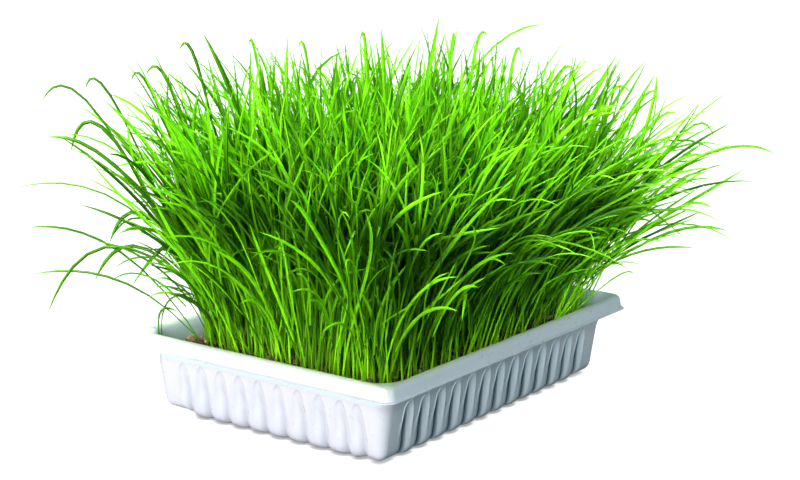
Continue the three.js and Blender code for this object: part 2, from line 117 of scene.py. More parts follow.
SOIL_GAP = 0.5 * MM
SOIL_FLOOR = 1.7 * MM
SOIL_TOP = 38.3 * MM
SOIL_EDGE = 34.5 * MM
SOIL_SIDE = np.array([31, 27, 20, 8, 4.5, 2.6]) * MM  # heights of the rows down the soil's side
SOIL_DIP_POWER = 10
SOIL_CELLS = (176, 132)
SOIL_CORNER = 9 * MM
SOIL_LUMPS = ((22, 1.0), (9, 1.5), (3.6, 0.8), (1.5, 0.35))  # their sizes and heights in millimetres
RIDGE = {"x": -98.5 * MM, "width": 5 * MM, "height": 4.6 * MM, "end": 74 * MM, "lump": 13 * MM}
CRUMB_SIZES = (0.5 * MM, 2.3 * MM)
CLOD_SIZES = (2 * MM, 4 * MM)
CLOD_COUNT = 46
# Clods on the ridge of soil along the short near side: x, y and size in millimetres.
HIGH_CLODS = (
    *((-84, 73, 4.4), (-93, 65, 2.6), (-98, 53, 3.2), (-94, 46, 2.8), (-100, 34, 2.8)),
    *((-101, 15, 3.2), (-100, 4, 2.6), (-100, -18, 2.8), (-99, -40, 3.3), (-100, -48, 2.6)),
    (-97, -62, 3),
)
CLOD_RISE = 0.35  # of a high clod's middle over the soil, as a share of its size
PALE = {"crumbs": 0.12, "clods": 0.15}  # shares of them that are pale
GRAIN_COUNT = 170
GRAIN_HALF = np.array([3.1, 1.5, 1.3]) * MM
ROOT_COUNT = 150
ROOT_STEPS = 10
ROOT_STEP = 1.3 * MM
ROOT_RADII = (0.32 * MM, 0.14 * MM)

# ---- Grass ----

TUFT_COLUMNS, TUFT_ROWS = 5, 4
TUFT_PITCH = np.array([41, 37]) * MM
PLANT_HALF = np.array([99, 71]) * MM  # the plants stand within this half length and half width
ROOT_HEIGHT = 33 * MM
ROOT_DEPTH = 4 * MM
BARE = {"place": np.array([-106, 79]) * MM, "radius": 27 * MM, "kept": 0.04}  # a corner with few plants
BLADE_LENGTH = 160 * MM
LENGTH_SPREAD = {"share": 0.46, "power": 1.4}
NEAR_SIDE = {"way": np.array([-0.801, -0.599]), "shorter": 0.16}
EDGE_LENGTH_GAIN = 0.06
LEAN = {"middle": 0.03, "edge": 0.13, "power": 3, "spread": 0.25}
CURL = {"middle": 0.15, "edge": 0.34, "spread": 0.42, "power": 1.6}
HEADING_SPREAD = {"turn": 1.1, "middle": 0.25}
REACH_LINE = np.array([0.599, -0.801])
DRIFT = 0.08  # lean that all blades share along REACH_LINE
# Plants that have fallen over: more of them do at one end of REACH_LINE than at the other.
FALLEN = {"share": 0.12, "one_end": 0.4, "lean": 0.42, "curl": 0.5, "length": 0.7, "wear": 0.3}
CLUMP = {"lean": 0.2, "size": 24 * MM, "seeds": (61, 62)}  # neighbours that lean alike
LEAF_SHARES = np.array([1, 0.95, 0.75])  # of the plants that have a first, second and third leaf
LEAF_TURN = 2.6  # radians from one leaf of a plant to the next
LEAF_CURLS = (0.35, 0.8)  # of the first leaf and of the later ones
LEAF_REACHES = ((0.6, 2.5), (0.4, 1.0))  # their shares of the plant's length, which end at 1
OWN_LEAN = {"all": 0.13, "tip": 0.5}
SHEATH = (26 * MM, 46 * MM)  # height where a plant's later leaves leave its stem
LONG_BLADE = 100 * MM  # shorter ones don't droop or bend
DROOP = {"share": 0.03, "angle": (0.3, 1.3), "longest": 135 * MM}
BEND = {"share": 0.03, "angle": (0.4, 1.4), "place": (0.5, 0.9), "run": 0.05}
SWAY = {"size": (0.02, 0.11), "waves": (4, 11), "start": (0, 6)}  # of the small wave to the side
MOST_TURN = 2.5  # radians from upright
MASS = {"weight": np.array([0.85, 2.1]), "spread": 0.17 / MM**0.3, "top": 176 * MM, "fall": 14 * MM}
MASS_DEPTH = (6 * MM, 46 * MM)  # depths in the mass of grass where shade begins and is full
STATIONS = 12
PATH_STEPS = 48
RIM_CLEAR = {"height": 64 * MM, "inner": np.array([110.5, 83]) * MM}
BOX_ROOM = 4 * MM  # how far past the CAD model's box a path may reach
WIDTH_SPREAD = (0.55, 1.3)
LATER_WIDTH = 0.92  # width of a plant's later leaves, as a share of the first one's
FOOT_WIDTH = 0.52  # as a share of the full width
TAPER = 0.14  # share of a blade's length that narrows to its tip
BLADE_THICKNESS = 0.5 * MM  # twice that at the foot
FOLD = (0.18, 0.3)  # least depth of the fold and how much it varies, as shares of the width
TINT_SPREAD = {"plant": 0.35, "leaf": 0.45}
AGE = {"dried": 0.0008, "others": 0.3, "wear": 0.05, "stray": 0.2}  # dried is a share of the blades
ROLLS = ((-1.6, -1.8), (1.6, 1.8))  # ranges of a blade's turn about its path: at the foot and along it
STRAY_ROLLS = ((1.1, -0.4), (2.0, 0.4))
STRAY_TINTS = (0.1, 0.6)  # of the strays on the dim side and of the others

# Long blades that stand out past the rest, in millimetres: the foot's x and y, the bow's and the
# tip's reach along REACH_LINE and height, and the width.
STRAYS = np.array(
    [
        (-88, 47, -58, 160, -92, 173, 1.5), (-92, 14, -62, 130, -110, 158, 2.0),
        (-84, 59, -46, 88, -98, 103, 1.9), (-84, 20, -70, 97, -116, 59, 1.8),
        (-86, 53, -46, 72, -99, 78, 1.4), (-48, 22, -26, 140, -52, 208, 2.2),
        (-35, 22, -14, 130, -15, 205, 2.0), (-8, -12, -4, 130, -8, 210, 2.4),
        (4, 12, 20, 130, 36, 214, 2.4), (10, 24, 50, 165, 103, 207, 1.3),
        (50, -22, 46, 125, 82, 190, 2.0), (74, -26, 52, 115, 89, 177, 2.0),
        (82, -10, 74, 92, 130, 135, 2.2), (85, -23, 98, 118, 159, 127, 1.6),
        (92, -14, 72, 72, 147, 118, 2.0), (90, -48, 60, 78, 107, 84, 1.8),
        (-72, 64, -52, 146, -78, 142, 2.2), (-67, 69, -48, 158, -69, 175, 1.6),
        (-53, 69, -37, 158, -54, 178, 1.6), (-57, 69, -25, 161, -43, 182, 1.8),
        (-62, 60, -47, 86, -78, 68, 2.2), (-60, 56, -24, 92, -62, 65, 2.2),
        (-60, 62, -43, 102, -69, 89, 2.3), (-58, 58, -48, 121, -65, 144, 2.2),
        (-103, 76, -2, 55, 8, 57, 1.3), (-101, 77, 0, 58, 14, 66, 1.2),
        (-40, 69, -22, 169, -36, 194, 1.8), (-24, 49, -16, 169, -23, 197, 1.8),
        (-5, 40, -8, 168, -15, 194, 1.6), (-13, 1, -2, 175, -6, 202, 1.8),
        (32, -9, 8, 171, 11, 199, 1.8), (40, -19, 7, 171, 17, 200, 1.8),
        (39, -36, 14, 167, 22, 191, 1.8), (43, -58, 15, 157, 31, 184, 1.8),
        (67, -69, 21, 150, 41, 169, 1.6), (65, -69, 34, 140, 56, 171, 1.8),
        (63, -69, 41, 132, 69, 159, 1.8), (71, -69, 59, 136, 86, 144, 1.6),
        (59, -69, 55, 117, 88, 134, 1.8), (55, -69, 57, 106, 89, 126, 1.6),
        (55, -69, 60, 97, 94, 106, 1.6), (59, -69, 35, 63, 49, 67, 1.1),
    ]
)


# ---- Meshes ----


def make_object(name, vertices, faces, material, sharp, uvs=None, attributes=None):
    """A mesh object from arrays. faces is a list of index arrays, one row a face, each array with
    faces of one size. uvs has a row for each vertex, and each attribute a value for each vertex.
    Edges that turn by more than sharp degrees stay crisp."""
    corners = np.concatenate([block.ravel() for block in faces])
    sizes = np.concatenate([np.full(len(block), block.shape[1]) for block in faces])
    mesh = bpy.data.meshes.new(name)
    mesh.vertices.add(len(vertices))
    mesh.vertices.foreach_set("co", np.asarray(vertices, np.float32).ravel())
    mesh.loops.add(len(corners))
    mesh.loops.foreach_set("vertex_index", corners.astype(np.int32))
    mesh.polygons.add(len(sizes))
    mesh.polygons.foreach_set("loop_start", np.append(0, np.cumsum(sizes)[:-1]).astype(np.int32))
    mesh.update(calc_edges=True)
    mesh.polygons.foreach_set("use_smooth", np.ones(len(sizes), bool))
    if uvs is not None:
        layer = mesh.uv_layers.new(name="UVMap")
        layer.uv.foreach_set("vector", np.asarray(uvs, np.float32)[corners].ravel())
    for key, values in (attributes or {}).items():
        layer = mesh.attributes.new(key, "FLOAT", "POINT")
        layer.data.foreach_set("value", np.asarray(values, np.float32))
    mesh.set_sharp_from_angle(angle=math.radians(sharp))
    if mesh.validate():
        raise RuntimeError(f"{name} has faces that Blender had to repair")
    mesh.materials.append(material)
    made = bpy.data.objects.new(name, mesh)
    bpy.context.scene.collection.objects.link(made)
    return made


def grid_faces(rows, columns, around=True):
    """The quads of a grid of vertices stored row by row. Each joins a vertex to the next in its row
    and to those two in the next row. A grid that goes around joins its last column to its first."""
    index = np.arange(rows * columns).reshape(rows, columns)
    after = np.roll(index, -1, axis=1)
    if not around:
        index, after = index[:, :-1], after[:, :-1]
    corners = (index[:-1], after[:-1], after[1:], index[1:])
    return np.stack([corner.ravel() for corner in corners], axis=1)


def fan_faces(ring, centre):
    """Triangles that join each vertex of a ring and the next one to a centre vertex."""
    return np.stack([ring, np.roll(ring, -1), np.full(len(ring), centre)], axis=1)


def cap_faces(rows, columns):
    """Fans that close the first and the last row of a grid, with centres stored after the grid."""
    first, last = np.arange(columns), np.arange(columns) + columns * (rows - 1)
    size = rows * columns
    return np.concatenate([fan_faces(first[::-1], size), fan_faces(last, size + 1)])


def repeated(faces, size, count):
    """The faces of count copies of a form with size vertices, which are stored one after another."""
    steps = np.arange(count) * size
    return [(block[None] + steps[:, None, None]).reshape(-1, block.shape[1]) for block in faces]


def smooth_step(low, high, value):
    """Rises from 0 at low to 1 at high along the cubic 3t^2 - 2t^3."""
    t = np.clip((value - low) / (high - low), 0, 1)
    return t * t * (3 - 2 * t)


def unit(vectors):
    """The vectors at length 1."""
    return vectors / np.linalg.norm(vectors, axis=-1, keepdims=True)


def lattice_noise(points, size, seed):
    """Value noise from -1 to 1. Each corner of a lattice of cubes has a random value, and a point
    blends the values of its cube's eight corners with cubic steps along x, y and z."""
    table = np.random.default_rng(seed).uniform(-1, 1, 4096)
    cell = np.floor(points / size).astype(np.int64)
    share = smooth_step(0, 1, points / size - cell)
    total = np.zeros(len(points))
    for corner in np.ndindex(2, 2, 2):
        x, y, z = (cell + corner).T
        value = table[(x * 73856093 ^ y * 19349663 ^ z * 83492791) & 4095]
        total += value * np.prod(np.where(np.array(corner) == 1, share, 1 - share), axis=1)
    return total


def flat_noise(x, y, size, seed):
    """The noise at a height of 0."""
    return lattice_noise(np.stack([x, y, np.zeros_like(x)], axis=1), size, seed)


def turned(rng, forms):
    """The forms, each turned at random by the matrix of a random unit quaternion (w, x, y, z)."""
    w, x, y, z = unit(rng.normal(size=(len(forms), 4))).T
    rows = (
        (1 - 2 * (y * y + z * z), 2 * (x * y - z * w), 2 * (x * z + y * w)),
        (2 * (x * y + z * w), 1 - 2 * (x * x + z * z), 2 * (y * z - x * w)),
        (2 * (x * z - y * w), 2 * (y * z + x * w), 1 - 2 * (x * x + y * y)),
    )
    return np.einsum("ijn,nvj->nvi", np.array(rows), forms)


# ---- Materials ----


class Value:
    """A socket in a tree of nodes. Plain operators on it add Math nodes."""

    def __init__(self, nodes, socket):
        self.nodes = nodes
        self.socket = socket

    def math(self, operation, *values):
        inputs = dict(zip(("Value", "Value_001"), values))
        return self.nodes.add("ShaderNodeMath", "Value", {"operation": operation}, **inputs)

    def __add__(self, other):
        return self.math("ADD", self, other)

    def __sub__(self, other):
        return self.math("SUBTRACT", self, other)

    def __rsub__(self, other):
        return self.math("SUBTRACT", other, self)

    def __mul__(self, other):
        return self.math("MULTIPLY", self, other)

    __radd__, __rmul__ = __add__, __mul__

    def sine(self):
        return self.math("SINE", self)

    def between(self, low, high, start=0.0, end=1.0, kind="SMOOTHSTEP"):
        """Goes from start at low to end at high along a smooth step or a line, and stays there."""
        inputs = {"Value": self, "From_Min": low, "From_Max": high, "To_Min": start, "To_Max": end}
        return self.nodes.add("ShaderNodeMapRange", "Result", {"interpolation_type": kind}, **inputs)


class Nodes:
    """The nodes of a material or of the world."""

    def __init__(self, owner):
        owner.use_nodes = True
        self.tree = owner.node_tree

    def add(self, kind, output, settings=None, **inputs):
        """Adds a node of any kind: its settings first, then its inputs. The result is its output."""
        node = self.tree.nodes.new(kind)
        for key, value in (settings or {}).items():
            setattr(node, key, value)
        self.feed(node, **inputs)
        return Value(self, self.find(node.outputs, output))

    def find(self, sockets, key):
        """The socket with that name or identifier, in which underscores stand for spaces."""
        return next(s for s in sockets if s.enabled and key in (s.identifier, s.name.replace(" ", "_")))

    def feed(self, node, **inputs):
        """Links or sets a node's inputs."""
        for key, value in inputs.items():
            socket = self.find(node.inputs, key)
            if isinstance(value, Value):
                self.tree.links.new(value.socket, socket)
            else:
                socket.default_value = value

    def mix(self, share, first, second):
        """A share of the second colour over the first."""
        first, second = [c if isinstance(c, Value) else (*c, 1) for c in (first, second)]
        inputs = {"Factor_Float": share, "A_Color": first, "B_Color": second}
        return self.add("ShaderNodeMix", "Result_Color", {"data_type": "RGBA"}, **inputs)


class Finish(Nodes):
    """A material and the nodes that feed its shader."""

    def __init__(self, name):
        self.material = bpy.data.materials.new(name)
        super().__init__(self.material)
        self.shader = self.tree.nodes["Principled BSDF"]

    def set(self, **inputs):
        self.feed(self.shader, **inputs)

    def attribute(self, name):
        return self.add("ShaderNodeAttribute", "Fac", {"attribute_name": name})

    def across_and_along(self):
        """The two parts of the UV coordinate: across a blade and along it."""
        uv = self.add("ShaderNodeTexCoord", "UV")
        return [self.add("ShaderNodeSeparateXYZ", axis, Vector=uv) for axis in "XY"]

    def noise(self, scale, detail=3.0, roughness=0.5):
        place = self.add("ShaderNodeTexCoord", "Object")
        inputs = {"Vector": place, "Scale": scale, "Detail": detail, "Roughness": roughness}
        return self.add("ShaderNodeTexNoise", "Fac", **inputs)

    def grey(self, value):
        return self.add("ShaderNodeCombineXYZ", "Vector", X=value, Y=value, Z=value)

    def bump(self, height, strength, distance):
        return self.add("ShaderNodeBump", "Normal", Height=height, Strength=strength, Distance=distance)

    def see_through(self, share, colour, normal):
        """Lets a share of the light through the surface, in a plain colour."""
        through = self.add("ShaderNodeBsdfTranslucent", "BSDF", Color=(*colour, 1), Normal=normal)
        front = Value(self, self.shader.outputs["BSDF"])
        both = self.add("ShaderNodeMixShader", "Shader", Fac=share, Shader=front, Shader_001=through)
        self.feed(self.tree.nodes["Material Output"], Surface=both)


def tray_finish(settings):
    """Pale glossy plastic: a faint mottle, painted shade deep in the flutes that also dulls the gloss there,
    painted shade tinted green along the rim's inner edge and a pale green-grey painted light inside it, fine
    scuffs on the gloss and a soft orange peel."""
    finish = Finish("tray_plastic")
    mottle = finish.noise(38, 4)
    cool = [channel * shift for channel, shift in zip(settings.colour, (0.955, 0.975, 0.99))]
    colour = finish.mix(mottle.between(0.35, 0.7), settings.colour, cool)
    # Painted shade: the depths of the flutes darken towards a near-black blue-grey, and lose their gloss.
    flute_shade = finish.attribute("groove_shade") * (mottle * 0.2 + 0.85)
    colour = finish.mix(flute_shade, colour, settings.flute_shade)
    # Painted light: the inside of the rim turns a paler green-grey.
    colour = finish.mix(finish.attribute("inside") * (mottle * 0.3 + 0.7), colour, settings.inside)
    # Painted shade along the rim's inner edge, tinted green like light thrown off the grass.
    colour = finish.mix(finish.attribute("rim_green_shade") * (mottle * 0.4 + 0.45), colour, settings.rim_green_shade)
    scuffs = finish.noise(260, 5, 0.65)
    dull = scuffs.between(0.35, 0.75, settings.roughness - 0.05, settings.roughness + 0.09)
    peel = finish.noise(420, 2) * 0.4 + finish.noise(55, 2)
    finish.set(Base_Color=colour, Roughness=flute_shade * (0.9 - dull) + dull, Coat_Weight=flute_shade * -0.25 + 0.25)
    finish.set(Normal=finish.bump(peel, 0.12, 0.4 * MM), IOR=1.49, Coat_Roughness=0.16)
    return finish.material


def soil_finish(settings):
    """Damp dark soil: crumbs from near black to brown, tan fibres and a grainy relief."""
    finish = Finish("soil_crumb")
    clumps = finish.noise(150, 6, 0.65)
    grains = finish.noise(900, 3, 0.6)
    colour = finish.mix(clumps.between(0.36, 0.66), settings.dark, settings.light)
    colour = finish.mix(grains.between(0.58, 0.72) * 0.55, colour, settings.fibre)
    colour = finish.mix(finish.attribute("tint"), colour, settings.fibre)
    relief = finish.bump(clumps + grains * 0.5, 0.7, 1.2 * MM)
    finish.set(Base_Color=colour, Roughness=clumps.between(0.3, 0.7, 0.72, 0.95), Normal=relief)
    finish.set(Specular_IOR_Level=0.3)
    return finish.material


def worn_finish(name, noise, edges, colours, roughness, relief):
    """A finish that goes from one colour to another in patches, as the roughness does, with a fine
    wrinkle. relief has the wrinkle's scale, strength and depth. The colour is left to be set."""
    finish = Finish(name)
    wear = finish.noise(noise, 4)
    relief = finish.bump(finish.noise(relief[0], 2), *relief[1:])
    finish.set(Roughness=wear.between(0.3, 0.7, *roughness), Normal=relief)
    return finish, finish.mix(wear.between(*edges), *colours)


def grain_finish():
    """Husks of wheat grains: tan, and darker from grain to grain."""
    tans = ((0.36, 0.2, 0.075), (0.56, 0.38, 0.17))
    relief = (1500, 0.4, 0.3 * MM)
    finish, tan = worn_finish("grain_husk", 480, (0.3, 0.7), tans, (0.5, 0.7), relief)
    finish.set(Base_Color=finish.mix(finish.attribute("tint") * 0.6, tan, (0.12, 0.07, 0.03)))
    return finish.material


def root_finish():
    """Fine roots: off-white, stained by the soil in patches."""
    pales = ((0.5, 0.42, 0.28), (0.2, 0.13, 0.06))
    relief = (1800, 0.3, 0.2 * MM)
    finish, colour = worn_finish("root_thread", 300, (0.4, 0.6), pales, (0.6, 0.8), relief)
    finish.set(Base_Color=colour)
    return finish.material


def grass_finish(settings):
    """Grass blades: a pale yellowish stem, green that varies from blade to blade and deepens in patches, a
    lighter tip, a paler middle vein and fine lengthwise veins, tan where a blade has dried, and painted
    shade, near black, deep in the mass. The spread of green from blade to blade is partly the blades' own and
    partly painted light and shade. Light comes through, less so in dark blades and where the painted shade
    lies deep in the mass."""
    finish = Finish("grass_blade")
    across, along = finish.across_and_along()
    tint, age, sunk = [finish.attribute(name) for name in ("tint", "age", "sunk")]
    mottle = finish.noise(240, 3)
    vein = ((across - 0.5) * (across - 0.5)).between(0.0, 0.012, 1.0, 0.0)
    # Each blade's tint runs from a near-black green to a bright lit green: partly the blades' own spread of
    # colour, partly painted light and shade for how each faces the lamps.
    green = finish.mix(tint, settings.deep, settings.lit)
    green = finish.mix(mottle.between(0.4, 0.75) * 0.3, green, settings.deep)
    green = finish.mix(along.between(0.75, 1.0) * 0.3, green, settings.lit)
    green = finish.mix(along.between(0.03, 0.25, 1.0, 0.0) * (tint * 0.6 + 0.4), green, settings.stem)
    green = finish.mix(vein * 0.25, green, settings.stem)
    dried = (age + mottle * 0.3 - 0.15 + along * 0.25).between(0.55, 0.8)
    colour = finish.mix(dried, green, settings.dry)
    # Painted shade: blades darken to near black the deeper they lie in the mass of grass.
    colour = finish.mix(sunk * 0.9, colour, (0.004, 0.025, 0.0))
    normal = finish.bump((across * 44).sine() * 0.5 + vein, 0.35, 0.15 * MM)
    finish.set(Base_Color=colour, Normal=normal, Specular_IOR_Level=0.1)
    finish.set(Roughness=mottle.between(0.3, 0.7, 0.34, 0.5))
    glow = [g / 2 + (d + l) / 4 for g, d, l in zip(settings.glow, settings.deep, settings.lit)]
    # Less light comes through where the painted shade lies deep in the mass.
    finish.see_through(tint * (1 - sunk * 0.9) * 0.12 + 0.185, glow, normal)
    return finish.material


def stage_finish(settings):
    """A matt floor that glows a little where the camera sees it, so that it is near white there and shadows
    on it are faint, and that throws less light back at the object. Its glow is dimmer close to the object: a
    painted contact shadow."""
    finish = Finish("stage_floor")
    seen = finish.add("ShaderNodeLightPath", "Is_Camera_Ray")
    bounce = finish.noise(3, 2) * 0.02 + settings.floor_bounce
    # Painted contact shadow: ambient occlusion dims the floor's glow within a few millimetres of the object.
    contact_shadow = finish.add("ShaderNodeAmbientOcclusion", "AO", {"samples": 8}, Distance=3 * MM)
    finish.set(Base_Color=finish.grey(seen * (0.16 - bounce) + bounce))
    finish.set(Emission_Color=finish.grey(seen * contact_shadow.between(0.25, 0.75, 0.35, 1.0)))
    finish.set(Emission_Strength=settings.floor_glow, Roughness=0.9, Specular_IOR_Level=0.0)
    return finish.material


# ---- Tray surface ----


def tray_columns():
    """The columns of the tray's surface, counter-clockwise from above. A column on a straight has
    its flute's or lobe's distance from the side's middle and its place across a flute, which is 0 at
    the flute's line, 1 at its edge and 2 past the bead along the edge. The place is nan at a lobe's
    middle. A column on a corner has its turn."""
    across = np.concatenate([-BEAD_STEPS[::-1], np.linspace(-1, 1, FLUTE_STEPS + 1), BEAD_STEPS])
    arc = np.linspace(0, math.pi / 2, CORNER_STEPS + 1)
    sides, lines, places, turns = [], [], [], []
    for side, flutes in enumerate(SIDE_FLUTES):
        lobes = [flutes[0] - FLUTE_PITCH / 2, *((flutes[1:] + flutes[:-1]) / 2)]
        for lobe, flute in zip(lobes, flutes):
            lines += [lobe, *np.full(len(across), flute)]
            places += [np.nan, *across]
        straight = len(flutes) * (len(across) + 1) + 1
        lines += [flutes[-1] + FLUTE_PITCH / 2] + [np.nan] * len(arc)
        places += [np.nan] * (1 + len(arc))
        turns += [np.nan] * straight + [*arc]
        sides += [side] * (straight + len(arc))
    return [np.array(part) for part in (sides, lines, places, turns)]


def arch_end(z):
    """How far a height is up the arch at a flute's top, from 0 where it begins to 1 at its crown."""
    return np.clip((z - FLUTE_ARCH) / (FLUTE_TOP - FLUTE_ARCH), 0, 1)


def flute_offset(z, across):
    """How far to the side of a flute's line a place across it lies. A flute narrows with a power of
    the height and closes in half an ellipse at its top. The bead beyond its edge is narrower where
    the flutes leave little room between them."""
    foot, top = FLUTE_WIDTHS
    width = foot + (top - foot) * np.clip(z / FLUTE_TOP, 0, 1) ** 1.2
    width = width * np.sqrt(1 - arch_end(z) ** 2)
    bead = np.minimum(BEAD_WIDTH, 0.45 * (1 - width))
    size = np.abs(across)
    return np.sign(across) * FLUTE_PITCH * (np.minimum(size, 1) * width / 2 + np.maximum(size - 1, 0) * bead)


def flute_depth(z, across):
    """How far a flute stands in from the wall at a height and a place across it. Low down lobes
    meet in cusps: 1 less the height of a circle's arc. High up it is a half-round channel, whose
    end is a quarter of an ellipsoid. In between the two are blended. Beyond the flute's edge the
    wall stands out as a bead along half a sine wave."""
    rise = np.clip(z / FLUTE_TOP, 0, 1)
    size = np.minimum(np.abs(across), 1)
    r = FLUTE_ROUNDNESS * (1 - size)
    cusp = (1 - np.sqrt(1 - r**2)) / (1 - math.sqrt(1 - FLUTE_ROUNDNESS**2))
    channel = np.sqrt((1 - size**2) * (1 - arch_end(z) ** 2))
    share = smooth_step(*CHANNEL_RISE, rise)
    depth = FLUTE_TOP_DEPTH + (FLUTE_DEPTH - FLUTE_TOP_DEPTH) * (1 - rise) ** 1.5
    foot = np.clip(1 - z / BASE_FILLET, 0, 1) * (FLUTE_FOOT_DEPTH - FLUTE_DEPTH)
    bead = BEAD_HEIGHT * smooth_step(0.3, 0.85, rise) * np.sin(math.pi * np.clip(np.abs(across) - 1, 0, 1))
    return (depth + foot) * ((1 - share) * cusp + share * channel) - bead


def tray_row(columns, half, corner, z, fluted):
    """One level row of the tray's surface. Points on a straight lie at its distance from the middle,
    less the flute's depth, and points on a corner lie on its arc. The base's corners rise with the
    square of the share of the height that is left below the fade."""
    sides, lines, places, turns = columns
    turn_of_side = sides * math.pi / 2
    along = np.stack([np.cos(turn_of_side), np.sin(turn_of_side)], axis=1)
    out = np.stack([np.sin(turn_of_side), -np.cos(turn_of_side)], axis=1)
    is_long = sides % 2 == 0
    straight = np.where(is_long, half[0], half[1]) - corner
    level = np.where(is_long, half[1], half[0])
    across = np.nan_to_num(places)
    distance = np.clip(lines + flute_offset(z if fluted else FLUTE_ARCH, across), -straight, straight)
    depth = np.where(np.isnan(places), 0, flute_depth(z, across)) if fluted else 0
    shallow = np.maximum(depth, -0.1 * MM) * (1 - 0.5 * smooth_step(*SHORT_FADE, z))
    depth = np.where(is_long, depth, shallow)
    on_arc = ~np.isnan(turns)
    arc = np.nan_to_num(turns)
    distance = np.where(on_arc, straight + corner * np.sin(arc), np.nan_to_num(distance))
    height = np.where(on_arc, level - corner + corner * np.cos(arc), level - depth)
    flat = along * distance[:, None] + out * height[:, None]
    near_corner = smooth_step(-14 * MM, -9 * MM, np.abs(distance) - straight)
    low = np.clip(1 - z / CORNER_LIFT["fade"], 0, 1) ** 2
    lift = np.where(flat[:, 1] > 0, CORNER_LIFT["far"], CORNER_LIFT["near"])
    return np.column_stack([flat, z + lift * near_corner * low])


def shifted(points):
    """Points of the tub or the soil moved off the rim's middle, less and less near the rim."""
    share = np.clip((WALL_TOP - points[:, 2]) / TUB_SHIFT["fade"], 0, 1)
    return points + share[:, None] * (0, TUB_SHIFT["y"], 0)


def wall_row(columns, z, inset, fluted=True):
    """A row on the wall, set in from its outer face: the wall's half sizes grow with the height."""
    out = WALL_DRAFT * z - inset
    return shifted(tray_row(columns, BASE_HALF + out, max(BASE_CORNER + out, WALL_THICKNESS), z, fluted))


def rim_rows(columns):
    """The rim's rows. Its section's corners are cut: each step between two points is replaced by
    the points at a quarter and three quarters of it, and the ends stay on the wall."""
    top = WALL_DRAFT * WALL_TOP
    ends = []
    for inset in (0, WALL_THICKNESS):
        ends.append([*(LIP_HALF - BASE_HALF - top + inset), WALL_TOP, BASE_CORNER + top - inset])
    section = [(inset * MM, inset * MM, z * MM, corner * MM) for inset, z, corner in RIM_SECTION]
    points = np.array([ends[0], *section, ends[1]])
    cut = np.stack([0.75 * points[:-1] + 0.25 * points[1:], 0.25 * points[:-1] + 0.75 * points[1:]], axis=1)
    points = np.concatenate([points[:1], cut.reshape(-1, 4), points[-1:]])
    return [tray_row(columns, LIP_HALF - (x, y), corner, z, False) for x, y, z, corner in points]


def fillet(radius, steps):
    """Points of a quarter round, from the wall down to the floor: height r (1 - sin a) over the
    floor and inset r (1 - cos a) from the wall."""
    turns = np.linspace(0, math.pi / 2, steps)
    return [(radius * (1 - math.sin(a)), radius * (1 - math.cos(a))) for a in turns]


def tray_rows(columns):
    """The tray's surface as rows from the middle of its underside, round the base's edge, up the
    fluted wall, over the rim and down inside to the middle of its floor."""
    hub = BASE_FILLET + FLUTE_FOOT_DEPTH + FLUTE_DEPTH
    arch = np.sin(np.linspace(0.12, 0.97, 9) * math.pi / 2)
    rows = [wall_row(columns, 0, hub, False)]
    rows += [wall_row(columns, *point) for point in fillet(BASE_FILLET, 7)[::-1]]
    rows += [wall_row(columns, z, 0) for z in np.linspace(8 * MM, FLUTE_ARCH, FLUTE_ROWS)]
    rows += [wall_row(columns, z, 0) for z in FLUTE_ARCH + (FLUTE_TOP - FLUTE_ARCH) * arch]
    rows += [wall_row(columns, z, 0, False) for z in PLAIN_HEIGHTS]
    rows += rim_rows(columns)
    rows += [wall_row(columns, z, WALL_THICKNESS, z < FLUTE_TOP - 0.4 * MM) for z in INNER_HEIGHTS]
    for z, inset in fillet(BASE_FILLET - WALL_THICKNESS, 5):
        rows.append(wall_row(columns, WALL_THICKNESS + z, WALL_THICKNESS + inset))
    return [*rows, wall_row(columns, WALL_THICKNESS, hub, False)]


def tray_surface():
    """The tray's mesh, and the attributes that paint light and shade on it: painted shade along the flutes'
    lines, painted shade tinted green on the rim's inner edge, and painted light on what lies within the rim."""
    columns = tray_columns()
    rows = tray_rows(columns)
    vertices = np.concatenate([*rows, [(0, 0, 0), (0, 0, WALL_THICKNESS)]])
    z = vertices[:, 2]
    faces = [grid_faces(len(rows), len(rows[0])), cap_faces(len(rows), len(rows[0]))]
    # Painted shade along each flute's line, faint on the short sides.
    line = np.exp(-((np.nan_to_num(columns[2], nan=9) / 0.36) ** 4)) * np.where(columns[0] % 2 == 0, 1, 0.1)
    groove_shade = np.append(np.tile(line, len(rows)), (0, 0))
    groove_shade = groove_shade * smooth_step(0, 3 * MM, z) * smooth_step(2 * MM, 11 * MM, FLUTE_TOP - z)
    inset = np.min(LIP_HALF - np.abs(vertices[:, :2]), axis=1)
    # Painted shade tinted green on the rim's inner edge.
    rim_green_shade = smooth_step(2.8 * MM, 4 * MM, inset) * smooth_step(7.5 * MM, 5.5 * MM, inset) * (z > 42 * MM)
    # Painted light on the inside of the rim.
    inside = smooth_step(4 * MM, 6 * MM, inset) * (z > 34 * MM)
    return vertices, faces, {"groove_shade": groove_shade, "rim_green_shade": rim_green_shade, "inside": inside}


# ---- Soil surfaces ----


def soil_half(z):
    """The soil's half sizes at a height, clear of the wall, of the flutes in it and of the fillet at
    its foot, which stands in by its radius less the side of a right triangle on it."""
    radius = BASE_FILLET - WALL_THICKNESS
    fall = np.clip(radius - (z - SOIL_GAP - WALL_THICKNESS), 0, radius)
    clear = WALL_DRAFT * z - WALL_THICKNESS - (radius - np.sqrt(radius**2 - fall**2)) - SOIL_GAP
    return BASE_HALF + clear - flute_depth(z - SOIL_GAP, 0)


